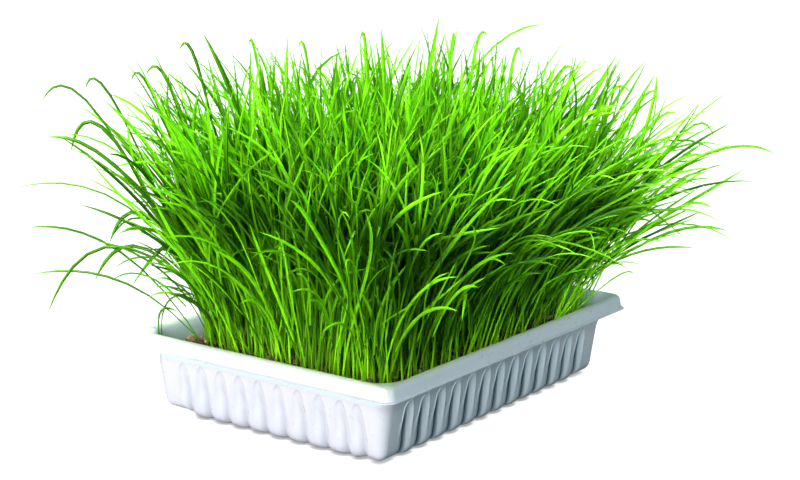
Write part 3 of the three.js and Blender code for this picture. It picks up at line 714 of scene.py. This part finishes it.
def soil_height(x, y):
    """The soil's height: a level that dips towards the wall, with a ridge along the short near side
    and lumps of several sizes."""
    half = soil_half(SOIL_EDGE)
    edge = np.clip(np.maximum(np.abs(x) / half[0], np.abs(y) / half[1]), 0, 1)
    z = SOIL_TOP - (SOIL_TOP - SOIL_EDGE) * edge**SOIL_DIP_POWER
    ridge = np.exp(-(((x - RIDGE["x"]) / RIDGE["width"]) ** 2))
    ridge = ridge * smooth_step(0, 9 * MM, RIDGE["end"] - np.abs(y))
    uneven = 0.8 + 0.5 * flat_noise(x, y, RIDGE["lump"], 9)
    z = z + ridge * RIDGE["height"] * (1 - edge**30) * uneven
    for seed, (size, height) in enumerate(SOIL_LUMPS, 3):
        z = z + height * MM * flat_noise(x, y, size * MM, seed)
    return z


def soil_bed():
    """A closed body of soil. Its top is a grid over a rectangle with rounded corners: in a corner's
    square the grid is squeezed onto the quarter disc by x' = x sqrt(1 - y^2 / 2), and y' likewise.
    Its side follows the tray's wall down to a flat underside."""
    across, along = SOIL_CELLS
    grid = np.meshgrid(np.linspace(-1, 1, across + 1), np.linspace(-1, 1, along + 1))
    half = soil_half(SOIL_EDGE)
    p, q = [np.clip((np.abs(w) * h - h + SOIL_CORNER) / SOIL_CORNER, 0, 1) for w, h in zip(grid, half)]
    squeezed = (p * np.sqrt(1 - q**2 / 2), q * np.sqrt(1 - p**2 / 2))
    x, y = [
        (np.sign(w) * (np.minimum(np.abs(w) * h, h - SOIL_CORNER) + bulge * SOIL_CORNER)).ravel()
        for w, h, bulge in zip(grid, half, squeezed)
    ]
    top = np.stack([x, y, soil_height(x, y)], axis=1)
    index = np.arange(len(top)).reshape(along + 1, across + 1)
    ring = np.concatenate([index[0, :-1], index[:-1, -1], index[-1, :0:-1], index[:0:-1, 0]])
    heights = (*SOIL_SIDE, SOIL_FLOOR)
    sides = [np.column_stack([top[ring, :2] * soil_half(z) / half, np.full(len(ring), z)]) for z in heights]
    vertices = np.concatenate([top, *sides, [(0, 0, SOIL_FLOOR)]])
    loops = [ring, *(len(top) + np.arange(len(ring) * len(sides)).reshape(len(sides), -1))]
    quads = [grid_faces(along + 1, across + 1, around=False)]
    for upper, lower in zip(loops, loops[1:]):
        quads.append(np.stack([lower, np.roll(lower, -1), np.roll(upper, -1), upper], axis=1))
    under = fan_faces(loops[-1][::-1], len(vertices) - 1)
    return shifted(vertices), [np.concatenate(quads), under]


def ball(rings, around):
    """A unit ball as rings from pole to pole: (sin a cos b, sin a sin b, cos a)."""
    polar, turns = np.arange(1, rings + 1) * math.pi / (rings + 1), np.arange(around) * math.tau / around
    a, b = np.meshgrid(polar, turns, indexing="ij")
    grid = np.stack([np.sin(a) * np.cos(b), np.sin(a) * np.sin(b), np.cos(a)], axis=2).reshape(-1, 3)
    vertices = np.concatenate([grid, [(0, 0, 1), (0, 0, -1)]])
    return vertices, [grid_faces(rings, around)[:, ::-1], cap_faces(rings, around)[:, ::-1]]


def lumps(rng, places, sizes, rings, around, roughness):
    """Irregular lumps: copies of the ball, each vertex moved in or out at random, squashed, turned
    at random and put in place."""
    vertices, faces = ball(rings, around)
    count = len(places)
    forms = vertices[None] * (1 + rng.uniform(-roughness, roughness, (count, len(vertices), 1)))
    forms = turned(rng, forms * rng.uniform(0.65, 1, (count, 1, 3)))
    forms = forms * sizes[:, None, None] + places[:, None]
    return forms.reshape(-1, 3), repeated(faces, len(vertices), count)


def on_soil(rng, count, margin):
    """Random places on the soil, no nearer to its edge than the margin."""
    half = soil_half(SOIL_EDGE) - margin
    flat = rng.uniform(-half, half, (count, 2))
    return np.column_stack([flat, soil_height(*flat.T)])


def crumbs_and_clods(rng, count):
    """Loose crumbs and clods as one mesh, with a tint for each vertex that makes a few of them pale."""
    places = on_soil(rng, count, 2 * MM)
    sizes = rng.uniform(*CRUMB_SIZES, count) * rng.uniform(0.4, 1, count)
    crumbs = lumps(rng, places, sizes, 3, 6, 0.25)
    high = np.array(HIGH_CLODS) * MM
    tops = np.column_stack([high[:, :2], soil_height(high[:, 0], high[:, 1]) + high[:, 2] * CLOD_RISE])
    spots = np.concatenate([on_soil(rng, CLOD_COUNT, 6 * MM), tops])
    widths = np.concatenate([rng.uniform(*CLOD_SIZES, CLOD_COUNT), high[:, 2]])
    clods = lumps(rng, spots, widths, 9, 14, 0.2)
    pale_crumbs = (rng.random(count) < PALE["crumbs"]) * rng.random(count) * 0.7
    pale_clods = rng.random(len(spots)) < PALE["clods"]
    pale_clods[CLOD_COUNT] = True  # the first high clod
    tints = [np.repeat(pale_crumbs, len(crumbs[0]) // count)]
    tints.append(np.repeat(pale_clods * 0.5, len(clods[0]) // len(spots)))
    faces = crumbs[1] + [block + len(crumbs[0]) for block in clods[1]]
    return np.concatenate([crumbs[0], clods[0]]), faces, {"tint": np.concatenate(tints)}


def wheat_grains(rng):
    """Grains of wheat: balls drawn out along x and pinched by a crease along their underside."""
    vertices, faces = ball(9, 10)
    vertices = vertices[:, [2, 0, 1]]
    vertices[:, 2] -= 0.28 * np.exp(-((vertices[:, 1] / 0.3) ** 2)) * (vertices[:, 2] > 0)
    places = on_soil(rng, GRAIN_COUNT, 6 * MM)
    grains = turned(rng, np.repeat((vertices * GRAIN_HALF)[None], GRAIN_COUNT, axis=0))
    grains = grains * rng.uniform(0.8, 1.1, (GRAIN_COUNT, 1, 1)) + places[:, None]
    tint = np.repeat(rng.random(GRAIN_COUNT), len(vertices))
    return grains.reshape(-1, 3), repeated(faces, len(vertices), GRAIN_COUNT), {"tint": tint}


def root_paths(rng):
    """Paths of root threads that wander over the soil by steps that turn at random, and their radii,
    which fall along each."""
    places = on_soil(rng, ROOT_COUNT, 12 * MM)
    turns = rng.uniform(0, math.tau, (ROOT_COUNT, 1))
    turns = turns + np.cumsum(rng.uniform(-0.7, 0.7, (ROOT_COUNT, ROOT_STEPS)), 1)
    x = places[:, :1] + np.cumsum(np.cos(turns) * ROOT_STEP, 1)
    y = places[:, 1:2] + np.cumsum(np.sin(turns) * ROOT_STEP, 1)
    z = soil_height(x.ravel(), y.ravel()).reshape(x.shape) + 0.1 * MM
    radii = np.linspace(*ROOT_RADII, ROOT_STEPS) * rng.uniform(0.7, 1.2, (ROOT_COUNT, 1))
    return np.stack([x, y, z], axis=2), radii


def tubes(paths, radii, sides):
    """Closed tubes along paths: at each point of a path a ring of corners stands across the path's
    direction, and a fan closes each end."""
    count, steps, _ = paths.shape
    tangent = unit(np.gradient(paths, axis=1))
    side = unit(np.cross(tangent, np.array([0.3, 0.2, 1.0])))
    back = np.cross(tangent, side)
    turn = np.arange(sides)[:, None] * math.tau / sides
    ring = np.cos(turn) * side[:, :, None] + np.sin(turn) * back[:, :, None]
    grid = (paths[:, :, None] + ring * radii[:, :, None, None]).reshape(count, -1, 3)
    vertices = np.concatenate([grid, paths[:, :1], paths[:, -1:]], axis=1)
    faces = repeated([grid_faces(steps, sides), cap_faces(steps, sides)], vertices.shape[1], count)
    return vertices.reshape(-1, 3), faces


# ---- Grass blades ----


def tuft_of(feet):
    """The number of the tuft that each foot stands in, in the order of the CAD's tuft nodes."""
    counts = np.array([TUFT_COLUMNS, TUFT_ROWS])
    cells = np.clip(np.round(feet / TUFT_PITCH + (counts - 1) / 2), 0, counts - 1).astype(int)
    return cells[:, 0] * TUFT_ROWS + cells[:, 1]


def plant_feet(rng, count):
    """Places of the plants: a grid of cells with one plant somewhere in each. Few are kept in the
    bare corner."""
    rows = round(math.sqrt(count * PLANT_HALF[1] / PLANT_HALF[0]))
    columns = round(count / rows)
    cells = np.stack(np.meshgrid(np.arange(columns), np.arange(rows)), axis=2).reshape(-1, 2)
    feet = ((cells + rng.uniform(0, 1, cells.shape)) / (columns, rows) * 2 - 1) * PLANT_HALF
    bare = np.linalg.norm(feet - BARE["place"], axis=1) < BARE["radius"]
    return feet[~bare | (rng.random(len(feet)) < BARE["kept"])]


def plant_habits(rng, feet):
    """How each plant grows: its heading, lean, curl and length, and how far it has fallen. Plants
    head outward, and lean and curl more towards the tray's edge, most of all along REACH_LINE, where
    some have fallen. Those on the near side are shorter."""
    count = len(feet)
    out = feet / BASE_HALF
    edge = np.minimum(np.linalg.norm(out, axis=1), 1)
    along = out @ REACH_LINE
    sideways = along**2 / np.maximum(np.sum(out**2, axis=1), 1e-9) * (1 + FALLEN["one_end"] * np.sign(along))
    falls = rng.random(count) < FALLEN["share"] * edge**2 * sideways
    fallen = np.where(falls, rng.random(count), 0)
    turn_off, lean_off, curl_off = rng.uniform(-1, 1, (3, count))
    heading = np.arctan2(out[:, 1], out[:, 0])
    heading = heading + turn_off * HEADING_SPREAD["turn"] / (HEADING_SPREAD["middle"] + edge)
    lean = LEAN["middle"] + LEAN["edge"] * edge ** LEAN["power"] * (0.5 + sideways)
    lean = lean + FALLEN["lean"] * fallen + LEAN["spread"] * lean_off
    curl = CURL["middle"] + CURL["edge"] * edge + FALLEN["curl"] * fallen + CURL["spread"] * curl_off
    length = BLADE_LENGTH * (1 - LENGTH_SPREAD["share"] * rng.random(count) ** LENGTH_SPREAD["power"])
    length = length * (1 + EDGE_LENGTH_GAIN * edge) * np.where(falls, FALLEN["length"], 1)
    length = length * (1 - NEAR_SIDE["shorter"] * smooth_step(0.2, 1.0, out @ NEAR_SIDE["way"]))
    return heading, lean, curl, length, fallen


def blade_paths(rng, feet):
    """Paths of every leaf of the plants at those feet, as points a short step apart, with where on
    its path each leaf leaves the stem, its number, its plant and its wear. A path's direction turns
    from upright by the length of a flat vector and towards it. That vector adds up the plant's lean
    and curl along its heading, the leaf's own curl from where it leaves the stem, a lean shared by
    neighbours, a turn at the tip, a small wave to the side and, for a few, a droop or a bend."""
    count = len(feet)
    heading, lean, curl, length, fallen = plant_habits(rng, feet)
    leaf = np.tile(np.arange(len(LEAF_SHARES)), count)
    keep = rng.random(len(leaf)) < LEAF_SHARES[leaf]
    plant = np.repeat(np.arange(count), len(LEAF_SHARES))[keep]
    leaf = leaf[keep]
    total = len(leaf)
    column = (total, 1)
    first = leaf[:, None] == 0
    heading, lean, curl, length = [habit[plant, None] for habit in (heading, lean, curl, length)]
    start = np.where(first, 0, rng.uniform(*SHEATH, column) / length)
    shares = [rng.uniform(*reaches, column) for reaches in LEAF_REACHES]
    share = np.minimum(np.where(first, *shares), 1)
    leaf_turn = (rng.uniform(0, math.tau, count)[plant] + leaf * LEAF_TURN)[:, None]
    leaf_curl = np.where(first, *LEAF_CURLS) * rng.uniform(0.1, 1, column)
    long = share * length > LONG_BLADE
    droops = (rng.random(column) < DROOP["share"]) & long & (share * length < DROOP["longest"])
    droop = np.where(droops, rng.uniform(*DROOP["angle"], column), 0)
    bend = np.where((rng.random(column) < BEND["share"]) & long, rng.uniform(*BEND["angle"], column), 0)
    bend_at = rng.uniform(*BEND["place"], column)
    s = (np.arange(PATH_STEPS) + 0.5) / PATH_STEPS
    plain = lean + curl * s ** CURL["power"] + droop * s**4 + bend * smooth_step(0, BEND["run"], s - bend_at)
    own = leaf_curl * np.clip(s - start, 0, 1) ** 1.1
    clumps = [flat_noise(*feet.T, CLUMP["size"], seed)[plant, None] for seed in CLUMP["seeds"]]
    leans = [CLUMP["lean"] * clump + rng.normal(0, OWN_LEAN["all"], column) for clump in clumps]
    tips = rng.normal(0, OWN_LEAN["tip"], (2, *column)) * s**4
    drift = rng.uniform(-0.5, 0.5, column) * s
    a, b = heading + drift, leaf_turn + drift
    wave = rng.uniform(*SWAY["size"], column)
    wave = wave * np.sin(s * rng.uniform(*SWAY["waves"], column) + rng.uniform(*SWAY["start"], column))
    x = plain * np.cos(a) + own * np.cos(b) + leans[0] * s**0.5 + tips[0] - wave * np.sin(a)
    y = plain * np.sin(a) + own * np.sin(b) + leans[1] * s**0.5 + tips[1] + wave * np.cos(a)
    flat = np.stack([x, y], 2) + DRIFT * REACH_LINE * s[:, None] ** 0.5
    angle = np.minimum(np.linalg.norm(flat, axis=2, keepdims=True), MOST_TURN)
    move = np.concatenate([unit(flat + 1e-9) * np.sin(angle), np.cos(angle)], axis=2)
    full = length * (start + (1 - start) * share) + ROOT_DEPTH
    foot = np.column_stack([feet[plant], np.full(total, ROOT_HEIGHT)])
    steps = np.concatenate([foot[:, None], move * full[..., None] / PATH_STEPS], axis=1)
    wear = np.minimum(bend[:, 0], 1) + fallen[plant] * FALLEN["wear"]
    return np.cumsum(steps, axis=1), start[:, 0], leaf, plant, wear


def stray_paths():
    """Paths of the blades that stand out past the rest: a quadratic curve from the foot through the
    bow, halfway along its parameter, to the tip, in the upright plane through the foot along
    REACH_LINE. The curve's control point is twice the bow less the mean of its ends."""
    flat, bow, tip = [STRAYS[:, i : i + 2] * MM for i in (0, 2, 4)]
    feet = np.column_stack([flat, np.full(len(flat), ROOT_HEIGHT - ROOT_DEPTH)])
    bows, tips = [np.column_stack([flat + spot[:, :1] * REACH_LINE, spot[:, 1]]) for spot in (bow, tip)]
    bends = 2 * bows - (feet + tips) / 2
    s = np.linspace(0, 1, PATH_STEPS + 1)[:, None]
    return (1 - s) ** 2 * feet[:, None] + 2 * s * (1 - s) * bends[:, None] + s**2 * tips[:, None]


def allowed(paths):
    """Whether each path stays within the CAD model's box and clear of the tray's rim: below a height
    a little above the rim it is inside the rim's opening."""
    low, high = (np.array(corner) for corner in CAD_BOX)
    fits = np.all((paths > low - BOX_ROOM) & (paths < high + BOX_ROOM), axis=(1, 2))
    inside = np.all(np.abs(paths[..., :2]) < RIM_CLEAR["inner"], axis=2)
    return fits & np.all((paths[..., 2] > RIM_CLEAR["height"]) | inside, axis=1)


def sunk(points):
    """How deep each point lies in the mass of grass, from 0 near its outside to 1. The outside is a
    domed top and four sides that spread from the outermost plants as they rise. Low down, depth from
    the sides counts half as much again."""
    spread = PLANT_HALF + MASS["spread"] * np.maximum(points[:, 2:] - ROOT_HEIGHT, 0) ** 1.3
    side = np.min((spread - np.abs(points[:, :2])) * MASS["weight"], axis=1)
    top = MASS["top"] - MASS["fall"] * np.max(np.abs(points[:, :2]) / PLANT_HALF, axis=1) ** 2 - points[:, 2]
    low = 1.5 - 0.5 * smooth_step(40 * MM, 110 * MM, points[:, 2])
    return smooth_step(*MASS_DEPTH, np.minimum(side * low, top))


def blade_surface(rng, paths, start, widths, rolls):
    """Closed blades along paths. Each has rings of four corners: two edges, a middle line sunk
    between them and a keel behind, so that the blade is folded along its length. It is nearly
    round at the foot, widest at the middle and runs out to a point. It turns about its path."""
    count = len(paths)
    s = start[:, None] + (1 - start[:, None]) * (1 - np.linspace(1, 0, STATIONS) ** 1.6)
    spot = s * PATH_STEPS
    low = np.minimum(spot.astype(int), PATH_STEPS - 1)
    row = np.arange(count)[:, None]
    part = (spot - low)[..., None]
    points = paths[row, low] * (1 - part) + paths[row, low + 1] * part
    tangent = unit(np.gradient(points, axis=1))
    across = points[:, -1] - points[:, 0]
    flat = unit(np.stack([-across[:, 1], across[:, 0], np.full(count, 1e-9)], axis=1))[:, None]
    side = unit(flat - tangent * np.sum(flat * tangent, axis=2, keepdims=True))
    back = np.cross(tangent, side)
    roll = (rolls[:, :1] + rolls[:, 1:] * s)[..., None]
    side, back = side * np.cos(roll) + back * np.sin(roll), back * np.cos(roll) - side * np.sin(roll)
    swell = FOOT_WIDTH + (1 - FOOT_WIDTH) * smooth_step(0.25, 0.6, s)
    taper = np.clip((1 - s) / TAPER, 0, 1) ** 0.6 * np.clip((1 - s) * 40, 0.05, 1)
    width = widths[:, None] * swell * taper
    thick = BLADE_THICKNESS * (2 - smooth_step(0.1, 0.4, s)) * np.clip((1 - s) * 10, 0.1, 1)
    fold = width * (FOLD[0] + FOLD[1] * rng.random(count)[:, None]) * smooth_step(0.15, 0.4, s)
    w, t, f = [size[..., None] for size in (width / 2, thick / 2, fold)]
    corners = (points - side * w, points - back * (f - t), points + side * w, points - back * (f + t))
    grid = np.stack(corners, axis=2).reshape(count, -1, 3)
    vertices = np.concatenate([grid, points[:, :1], points[:, -1:]], axis=1)
    faces = [grid_faces(STATIONS, 4)[:, ::-1], cap_faces(STATIONS, 4)[:, ::-1]]
    u = np.append(np.tile([0, 0.5, 1, 0.5], STATIONS), (0.5, 0.5))
    v = np.concatenate([np.repeat(s, 4, axis=1), s[:, [0, -1]]], axis=1)
    uvs = np.stack([np.broadcast_to(u, v.shape), v], axis=2).reshape(-1, 2)
    return vertices.reshape(-1, 3), repeated(faces, vertices.shape[1], count), uvs


def grown_blades(rng, settings):
    """Every blade of grass that is allowed and every stray: its path, start, width, tint, age and
    turns about its path."""
    feet = plant_feet(rng, settings.plants)
    paths, start, leaf, plant, wear = blade_paths(rng, feet)
    count = len(paths)
    widths = settings.width * rng.uniform(*WIDTH_SPREAD, count) * np.where(leaf == 0, 1, LATER_WIDTH)
    tint = rng.normal(0.5, TINT_SPREAD["plant"], len(feet))[plant]
    tint = np.clip(tint + rng.normal(0, TINT_SPREAD["leaf"], count), 0, 1)
    age = np.where(rng.random(count) < AGE["dried"], 1, rng.random(count) * AGE["others"])
    extra = len(STRAYS)
    # Strays on the dim side get a darker tint: painted shade.
    dark = (STRAYS[:, 4] < -30) | (STRAYS[:, 0] < -100)
    paths = np.concatenate([paths, stray_paths()])
    parts = [(start, np.zeros(extra)), (widths, STRAYS[:, 6] * MM)]
    parts += [(tint, np.where(dark, *STRAY_TINTS)), (age + wear * AGE["wear"], np.full(extra, AGE["stray"]))]
    rolls = rng.uniform(*ROLLS, (count + extra, 2))
    rolls[count:] = rng.uniform(*STRAY_ROLLS, (extra, 2))
    keep = allowed(paths) | (np.arange(len(paths)) >= count)
    return [part[keep] for part in (paths, *map(np.concatenate, parts), rolls)]


# ---- Stage ----

CAMERA_PLACE = Vector((-774.1, -587.3, 310.7)) * MM
CAMERA_YAW = math.radians(53.22)
CAMERA_PITCH = math.radians(12.87)
CAMERA_FOCAL_PIXELS = 1773.3
FRAME_WIDTH = 800
SENSOR_WIDTH = 36.0
FLOOR_RADIUS = 14.0
FLOOR_SIDES = 96


def make_camera():
    """The camera at its measured place: it looks yaw to the right of +Y and pitch below level."""
    camera = bpy.data.objects.new("camera", bpy.data.cameras.new("camera"))
    bpy.context.scene.collection.objects.link(camera)
    level = Vector((math.sin(CAMERA_YAW), math.cos(CAMERA_YAW), 0)) * math.cos(CAMERA_PITCH)
    ahead = level - Vector((0, 0, math.sin(CAMERA_PITCH)))
    right = Vector((math.cos(CAMERA_YAW), -math.sin(CAMERA_YAW), 0))
    turn = Matrix((right, right.cross(ahead), -ahead)).transposed()
    camera.matrix_world = Matrix.Translation(CAMERA_PLACE) @ turn.to_4x4()
    camera.data.sensor_width = SENSOR_WIDTH
    camera.data.lens = CAMERA_FOCAL_PIXELS / FRAME_WIDTH * SENSOR_WIDTH
    camera.data.clip_start, camera.data.clip_end = 0.01, 50
    bpy.context.scene.camera = camera


def make_floor(settings):
    """A wide level disc just below the object."""
    turn = np.arange(FLOOR_SIDES) * math.tau / FLOOR_SIDES
    ring = np.column_stack([np.cos(turn), np.sin(turn), np.zeros(FLOOR_SIDES)]) * FLOOR_RADIUS
    rings = np.concatenate([ring * share for share in (0.05, 0.3, 1)])
    vertices = np.concatenate([rings, [(0, 0, 0)]]) - (0, 0, 0.3 * MM)
    faces = [grid_faces(3, FLOOR_SIDES)[:, ::-1], fan_faces(np.arange(FLOOR_SIDES), len(rings))]
    floor = make_object("floor", vertices, faces, stage_finish(settings), 180)


def make_world(settings):
    """Soft light from all round: dim but for one broad bright area low on the side of the tray's
    short near wall, which turns cooler towards the long near wall."""
    world = bpy.data.worlds.new("studio")
    bpy.context.scene.world = world
    nodes = Nodes(world)
    place = nodes.add("ShaderNodeTexCoord", "Generated")
    facing = []
    for way in (Vector(settings.bright_side).normalized(), (0, -1, 0)):
        inputs = {"Vector": place, "Vector_001": way}
        facing.append(nodes.add("ShaderNodeVectorMath", "Value", {"operation": "DOT_PRODUCT"}, **inputs))
    spread = math.radians(settings.bright_spread)
    share = facing[0].between(math.cos(spread), math.cos(spread * 0.5))
    cool = facing[1].between(0.25, 0.65, kind="LINEAR")
    bright = nodes.mix(cool, settings.bright_colour, settings.cool_colour)
    colour = nodes.mix(share, settings.dim_colour, bright)
    strength = share.between(0, 1, settings.fill_low, settings.fill_high, "LINEAR")
    nodes.feed(nodes.tree.nodes["Background"], Color=colour, Strength=strength)


def make_key_light(settings):
    """A soft light from far off and high up, aimed at the object."""
    light = bpy.data.lights.new("key", "SUN")
    light.energy = settings.key
    light.angle = math.radians(settings.key_spread)
    light.color = (1.0, 0.985, 0.95)
    lamp = bpy.data.objects.new("key", light)
    bpy.context.scene.collection.objects.link(lamp)
    lamp.rotation_euler = Vector(settings.key_side).to_track_quat("Z", "Y").to_euler()
    lamp.location = Vector(settings.key_side)


# ---- Add-on ----


def paint(name, description, default):
    """A colour to choose."""
    limits = {"min": 0, "max": 1}
    return FloatVectorProperty(name=name, description=description, subtype="COLOR", default=default, **limits)


def amount(name, description, default, low, high, kind=FloatProperty):
    """A number to choose."""
    return kind(name=name, description=description, default=default, min=low, max=high)


def direction(name, description, default):
    """A direction to choose."""
    return FloatVectorProperty(name=name, description=description, subtype="DIRECTION", default=default)


class WHEATGRASS_tray_settings(PropertyGroup):
    colour: paint("Colour", "Colour of the plastic", (0.465, 0.475, 0.49))
    # Painted shade: the colour that darkens the depths of the flutes.
    flute_shade: paint("Flute_shade", "Colour in the depth of the flutes", (0.03, 0.045, 0.055))
    # Painted shade tinted green along the rim's inner edge.
    rim_green_shade: paint("Rim_green_shade", "Colour of the stain along the rim's inner edge", (0.33, 0.41, 0.19))
    # Painted light: a pale green-grey that brightens the inside of the rim.
    inside: paint("Inside", "Colour of the stain on the inside of the rim", (0.5, 0.64, 0.6))
    roughness: amount("Roughness", "How dull the plastic is", 0.32, 0.06, 0.9)


class WHEATGRASS_soil_settings(PropertyGroup):
    dark: paint("Dark", "Colour of damp soil", (0.014, 0.01, 0.004))
    light: paint("Light", "Colour of drier crumbs", (0.13, 0.085, 0.03))
    fibre: paint("Fibre", "Colour of fibres and husks", (0.36, 0.27, 0.1))
    crumbs: amount("Crumbs", "How many loose crumbs", 2600, 0, 4000, IntProperty)


class WHEATGRASS_grass_settings(PropertyGroup):
    plants: amount("Plants", "How many plants", 2100, 100, 2600, IntProperty)
    width: FloatProperty(
        name="Width",
        description="Width of a middling blade",
        default=1.65 * MM,
        min=1 * MM,
        max=4 * MM,
        subtype="DISTANCE",
        unit="LENGTH",
    )
    # The spread from the deep colour to the lit one is partly painted light and shade between blades.
    lit: paint("Lit", "Colour of the palest blades", (0.3, 0.95, 0.008))
    deep: paint("Deep", "Colour of the darkest blades", (0.008, 0.07, 0.0005))
    stem: paint("Stem", "Colour of the stems at the soil", (0.36, 0.86, 0.012))
    dry: paint("Dry", "Colour of dried blades", (0.75, 0.74, 0.5))
    glow: paint("Glow", "Colour of light through a blade", (0.24, 0.88, 0.002))


class WHEATGRASS_stage_settings(PropertyGroup):
    key: amount("Key", "Strength of the main light", 11.5, 0, 20)
    key_spread: amount("Spread", "How broad the main light is, in degrees", 12, 0, 90)
    key_side: direction("Key side", "Where the main light comes from", (0.24, 0.33, 0.91))
    bright_side: direction("Bright side", "Where the soft light is brightest", (-0.96, -0.2, 0.17))
    bright_spread: amount("Bright spread", "Half angle of the bright area, in degrees", 37, 20, 120)
    fill_high: amount("Bright fill", "Soft light on the bright side", 15, 0, 20)
    fill_low: amount("Dim fill", "Soft light on the dim side", 0.35, 0, 5)
    bright_colour: paint("Bright colour", "Colour of the bright area", (1.0, 0.805, 0.87))
    cool_colour: paint("Cool colour", "Colour of the bright area's near part", (0.42, 0.98, 1.0))
    dim_colour: paint("Dim colour", "Colour of the dim light", (0.5, 0.83, 1.0))
    floor_bounce: amount("Bounce", "Light that the floor throws back", 0.11, 0, 0.9)
    floor_glow: amount("Floor glow", "Glow of the floor in the picture", 0.93, 0, 2)


class WHEATGRASS_settings(PropertyGroup):
    tray: PointerProperty(type=WHEATGRASS_tray_settings)
    soil: PointerProperty(type=WHEATGRASS_soil_settings)
    grass: PointerProperty(type=WHEATGRASS_grass_settings)
    stage: PointerProperty(type=WHEATGRASS_stage_settings)


class WHEATGRASS_OT_tray(Operator):
    """Builds the fluted tray with its beaded rim"""

    bl_idname = "wheatgrass.tray"
    bl_label = "Tray"

    def execute(self, context):
        finish = tray_finish(context.scene.wheatgrass.tray)
        vertices, faces, stains = tray_surface()
        tray = make_object("tray_shell", vertices, faces, finish, 38, attributes=stains)
        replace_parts(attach(tray, "root"), "tray")
        return {"FINISHED"}


class WHEATGRASS_OT_soil(Operator):
    """Builds the bed of soil with its crumbs, grains and root threads"""

    bl_idname = "wheatgrass.soil"
    bl_label = "Soil"

    def execute(self, context):
        settings = context.scene.wheatgrass.soil
        rng = np.random.default_rng(11)
        finish = soil_finish(settings)
        vertices, faces = soil_bed()
        tint = np.clip(lattice_noise(vertices, 2.2 * MM, 31) - 0.72, 0, 1)
        bed = make_object("soil_bed", vertices, faces, finish, 60, attributes={"tint": tint})
        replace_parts(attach(bed, "root"), "soil")
        vertices, faces, tint = crumbs_and_clods(rng, settings.crumbs)
        crumbs = make_object("soil_crumbs", vertices, faces, finish, 75, attributes=tint)
        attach(crumbs, "root")
        vertices, faces, tint = wheat_grains(rng)
        grains = make_object("grains", vertices, faces, grain_finish(), 60, attributes=tint)
        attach(grains, "root")
        roots = make_object("root_threads", *tubes(*root_paths(rng), 4), root_finish(), 80)
        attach(roots, "root")
        return {"FINISHED"}


class WHEATGRASS_OT_grass(Operator):
    """Builds the blades of grass, one piece for each tuft"""

    bl_idname = "wheatgrass.grass"
    bl_label = "Grass"

    def execute(self, context):
        settings = context.scene.wheatgrass.grass
        rng = np.random.default_rng(7)
        finish = grass_finish(settings)
        paths, start, widths, tint, age, rolls = grown_blades(rng, settings)
        tuft = tuft_of(paths[:, 0, :2])
        for number in range(TUFT_COLUMNS * TUFT_ROWS):
            mine = tuft == number
            vertices, faces, uvs = blade_surface(rng, paths[mine], start[mine], widths[mine], rolls[mine])
            each = len(vertices) // mine.sum()
            shades = {"tint": np.repeat(tint[mine], each), "age": np.repeat(age[mine], each)}
            shades["sunk"] = sunk(vertices)
            name = f"blades_{number + 1:02d}"
            blades = make_object(name, vertices, faces, finish, 65, uvs, shades)
            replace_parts(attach(blades, "root"), f"grass_tuft_{number + 1:02d}")
        return {"FINISHED"}


class WHEATGRASS_OT_stage(Operator):
    """Sets up the floor, the light and the camera"""

    bl_idname = "wheatgrass.stage"
    bl_label = "Stage"

    def execute(self, context):
        settings = context.scene.wheatgrass.stage
        make_camera()
        make_floor(settings)
        make_world(settings)
        make_key_light(settings)
        context.scene.view_settings.view_transform = "Standard"
        return {"FINISHED"}


class WHEATGRASS_PT_panel(Panel):
    bl_label = "Wheatgrass"
    bl_space_type = "VIEW_3D"
    bl_region_type = "UI"
    bl_category = "Wheatgrass"

    def draw(self, context):
        for operator in OPERATORS:
            self.layout.operator(operator.bl_idname)
        for part in WHEATGRASS_settings.__annotations__:
            box = self.layout.box()
            box.label(text=part.capitalize())
            group = getattr(context.scene.wheatgrass, part)
            for key in group.__annotations__:
                box.prop(group, key)


SETTINGS = (
    WHEATGRASS_tray_settings,
    WHEATGRASS_soil_settings,
    WHEATGRASS_grass_settings,
    WHEATGRASS_stage_settings,
    WHEATGRASS_settings,
)
OPERATORS = (WHEATGRASS_OT_stage, WHEATGRASS_OT_tray, WHEATGRASS_OT_soil, WHEATGRASS_OT_grass)
CLASSES = (*SETTINGS, *OPERATORS, WHEATGRASS_PT_panel)


def register():
    for kind in CLASSES:
        bpy.utils.register_class(kind)
    bpy.types.Scene.wheatgrass = PointerProperty(type=WHEATGRASS_settings)


def unregister():
    del bpy.types.Scene.wheatgrass
    for kind in reversed(CLASSES):
        bpy.utils.unregister_class(kind)


def main():
    register()
    bpy.ops.wheatgrass.stage()
    bpy.ops.wheatgrass.tray()
    bpy.ops.wheatgrass.soil()
    bpy.ops.wheatgrass.grass()


if __name__ == "__main__":
    main()
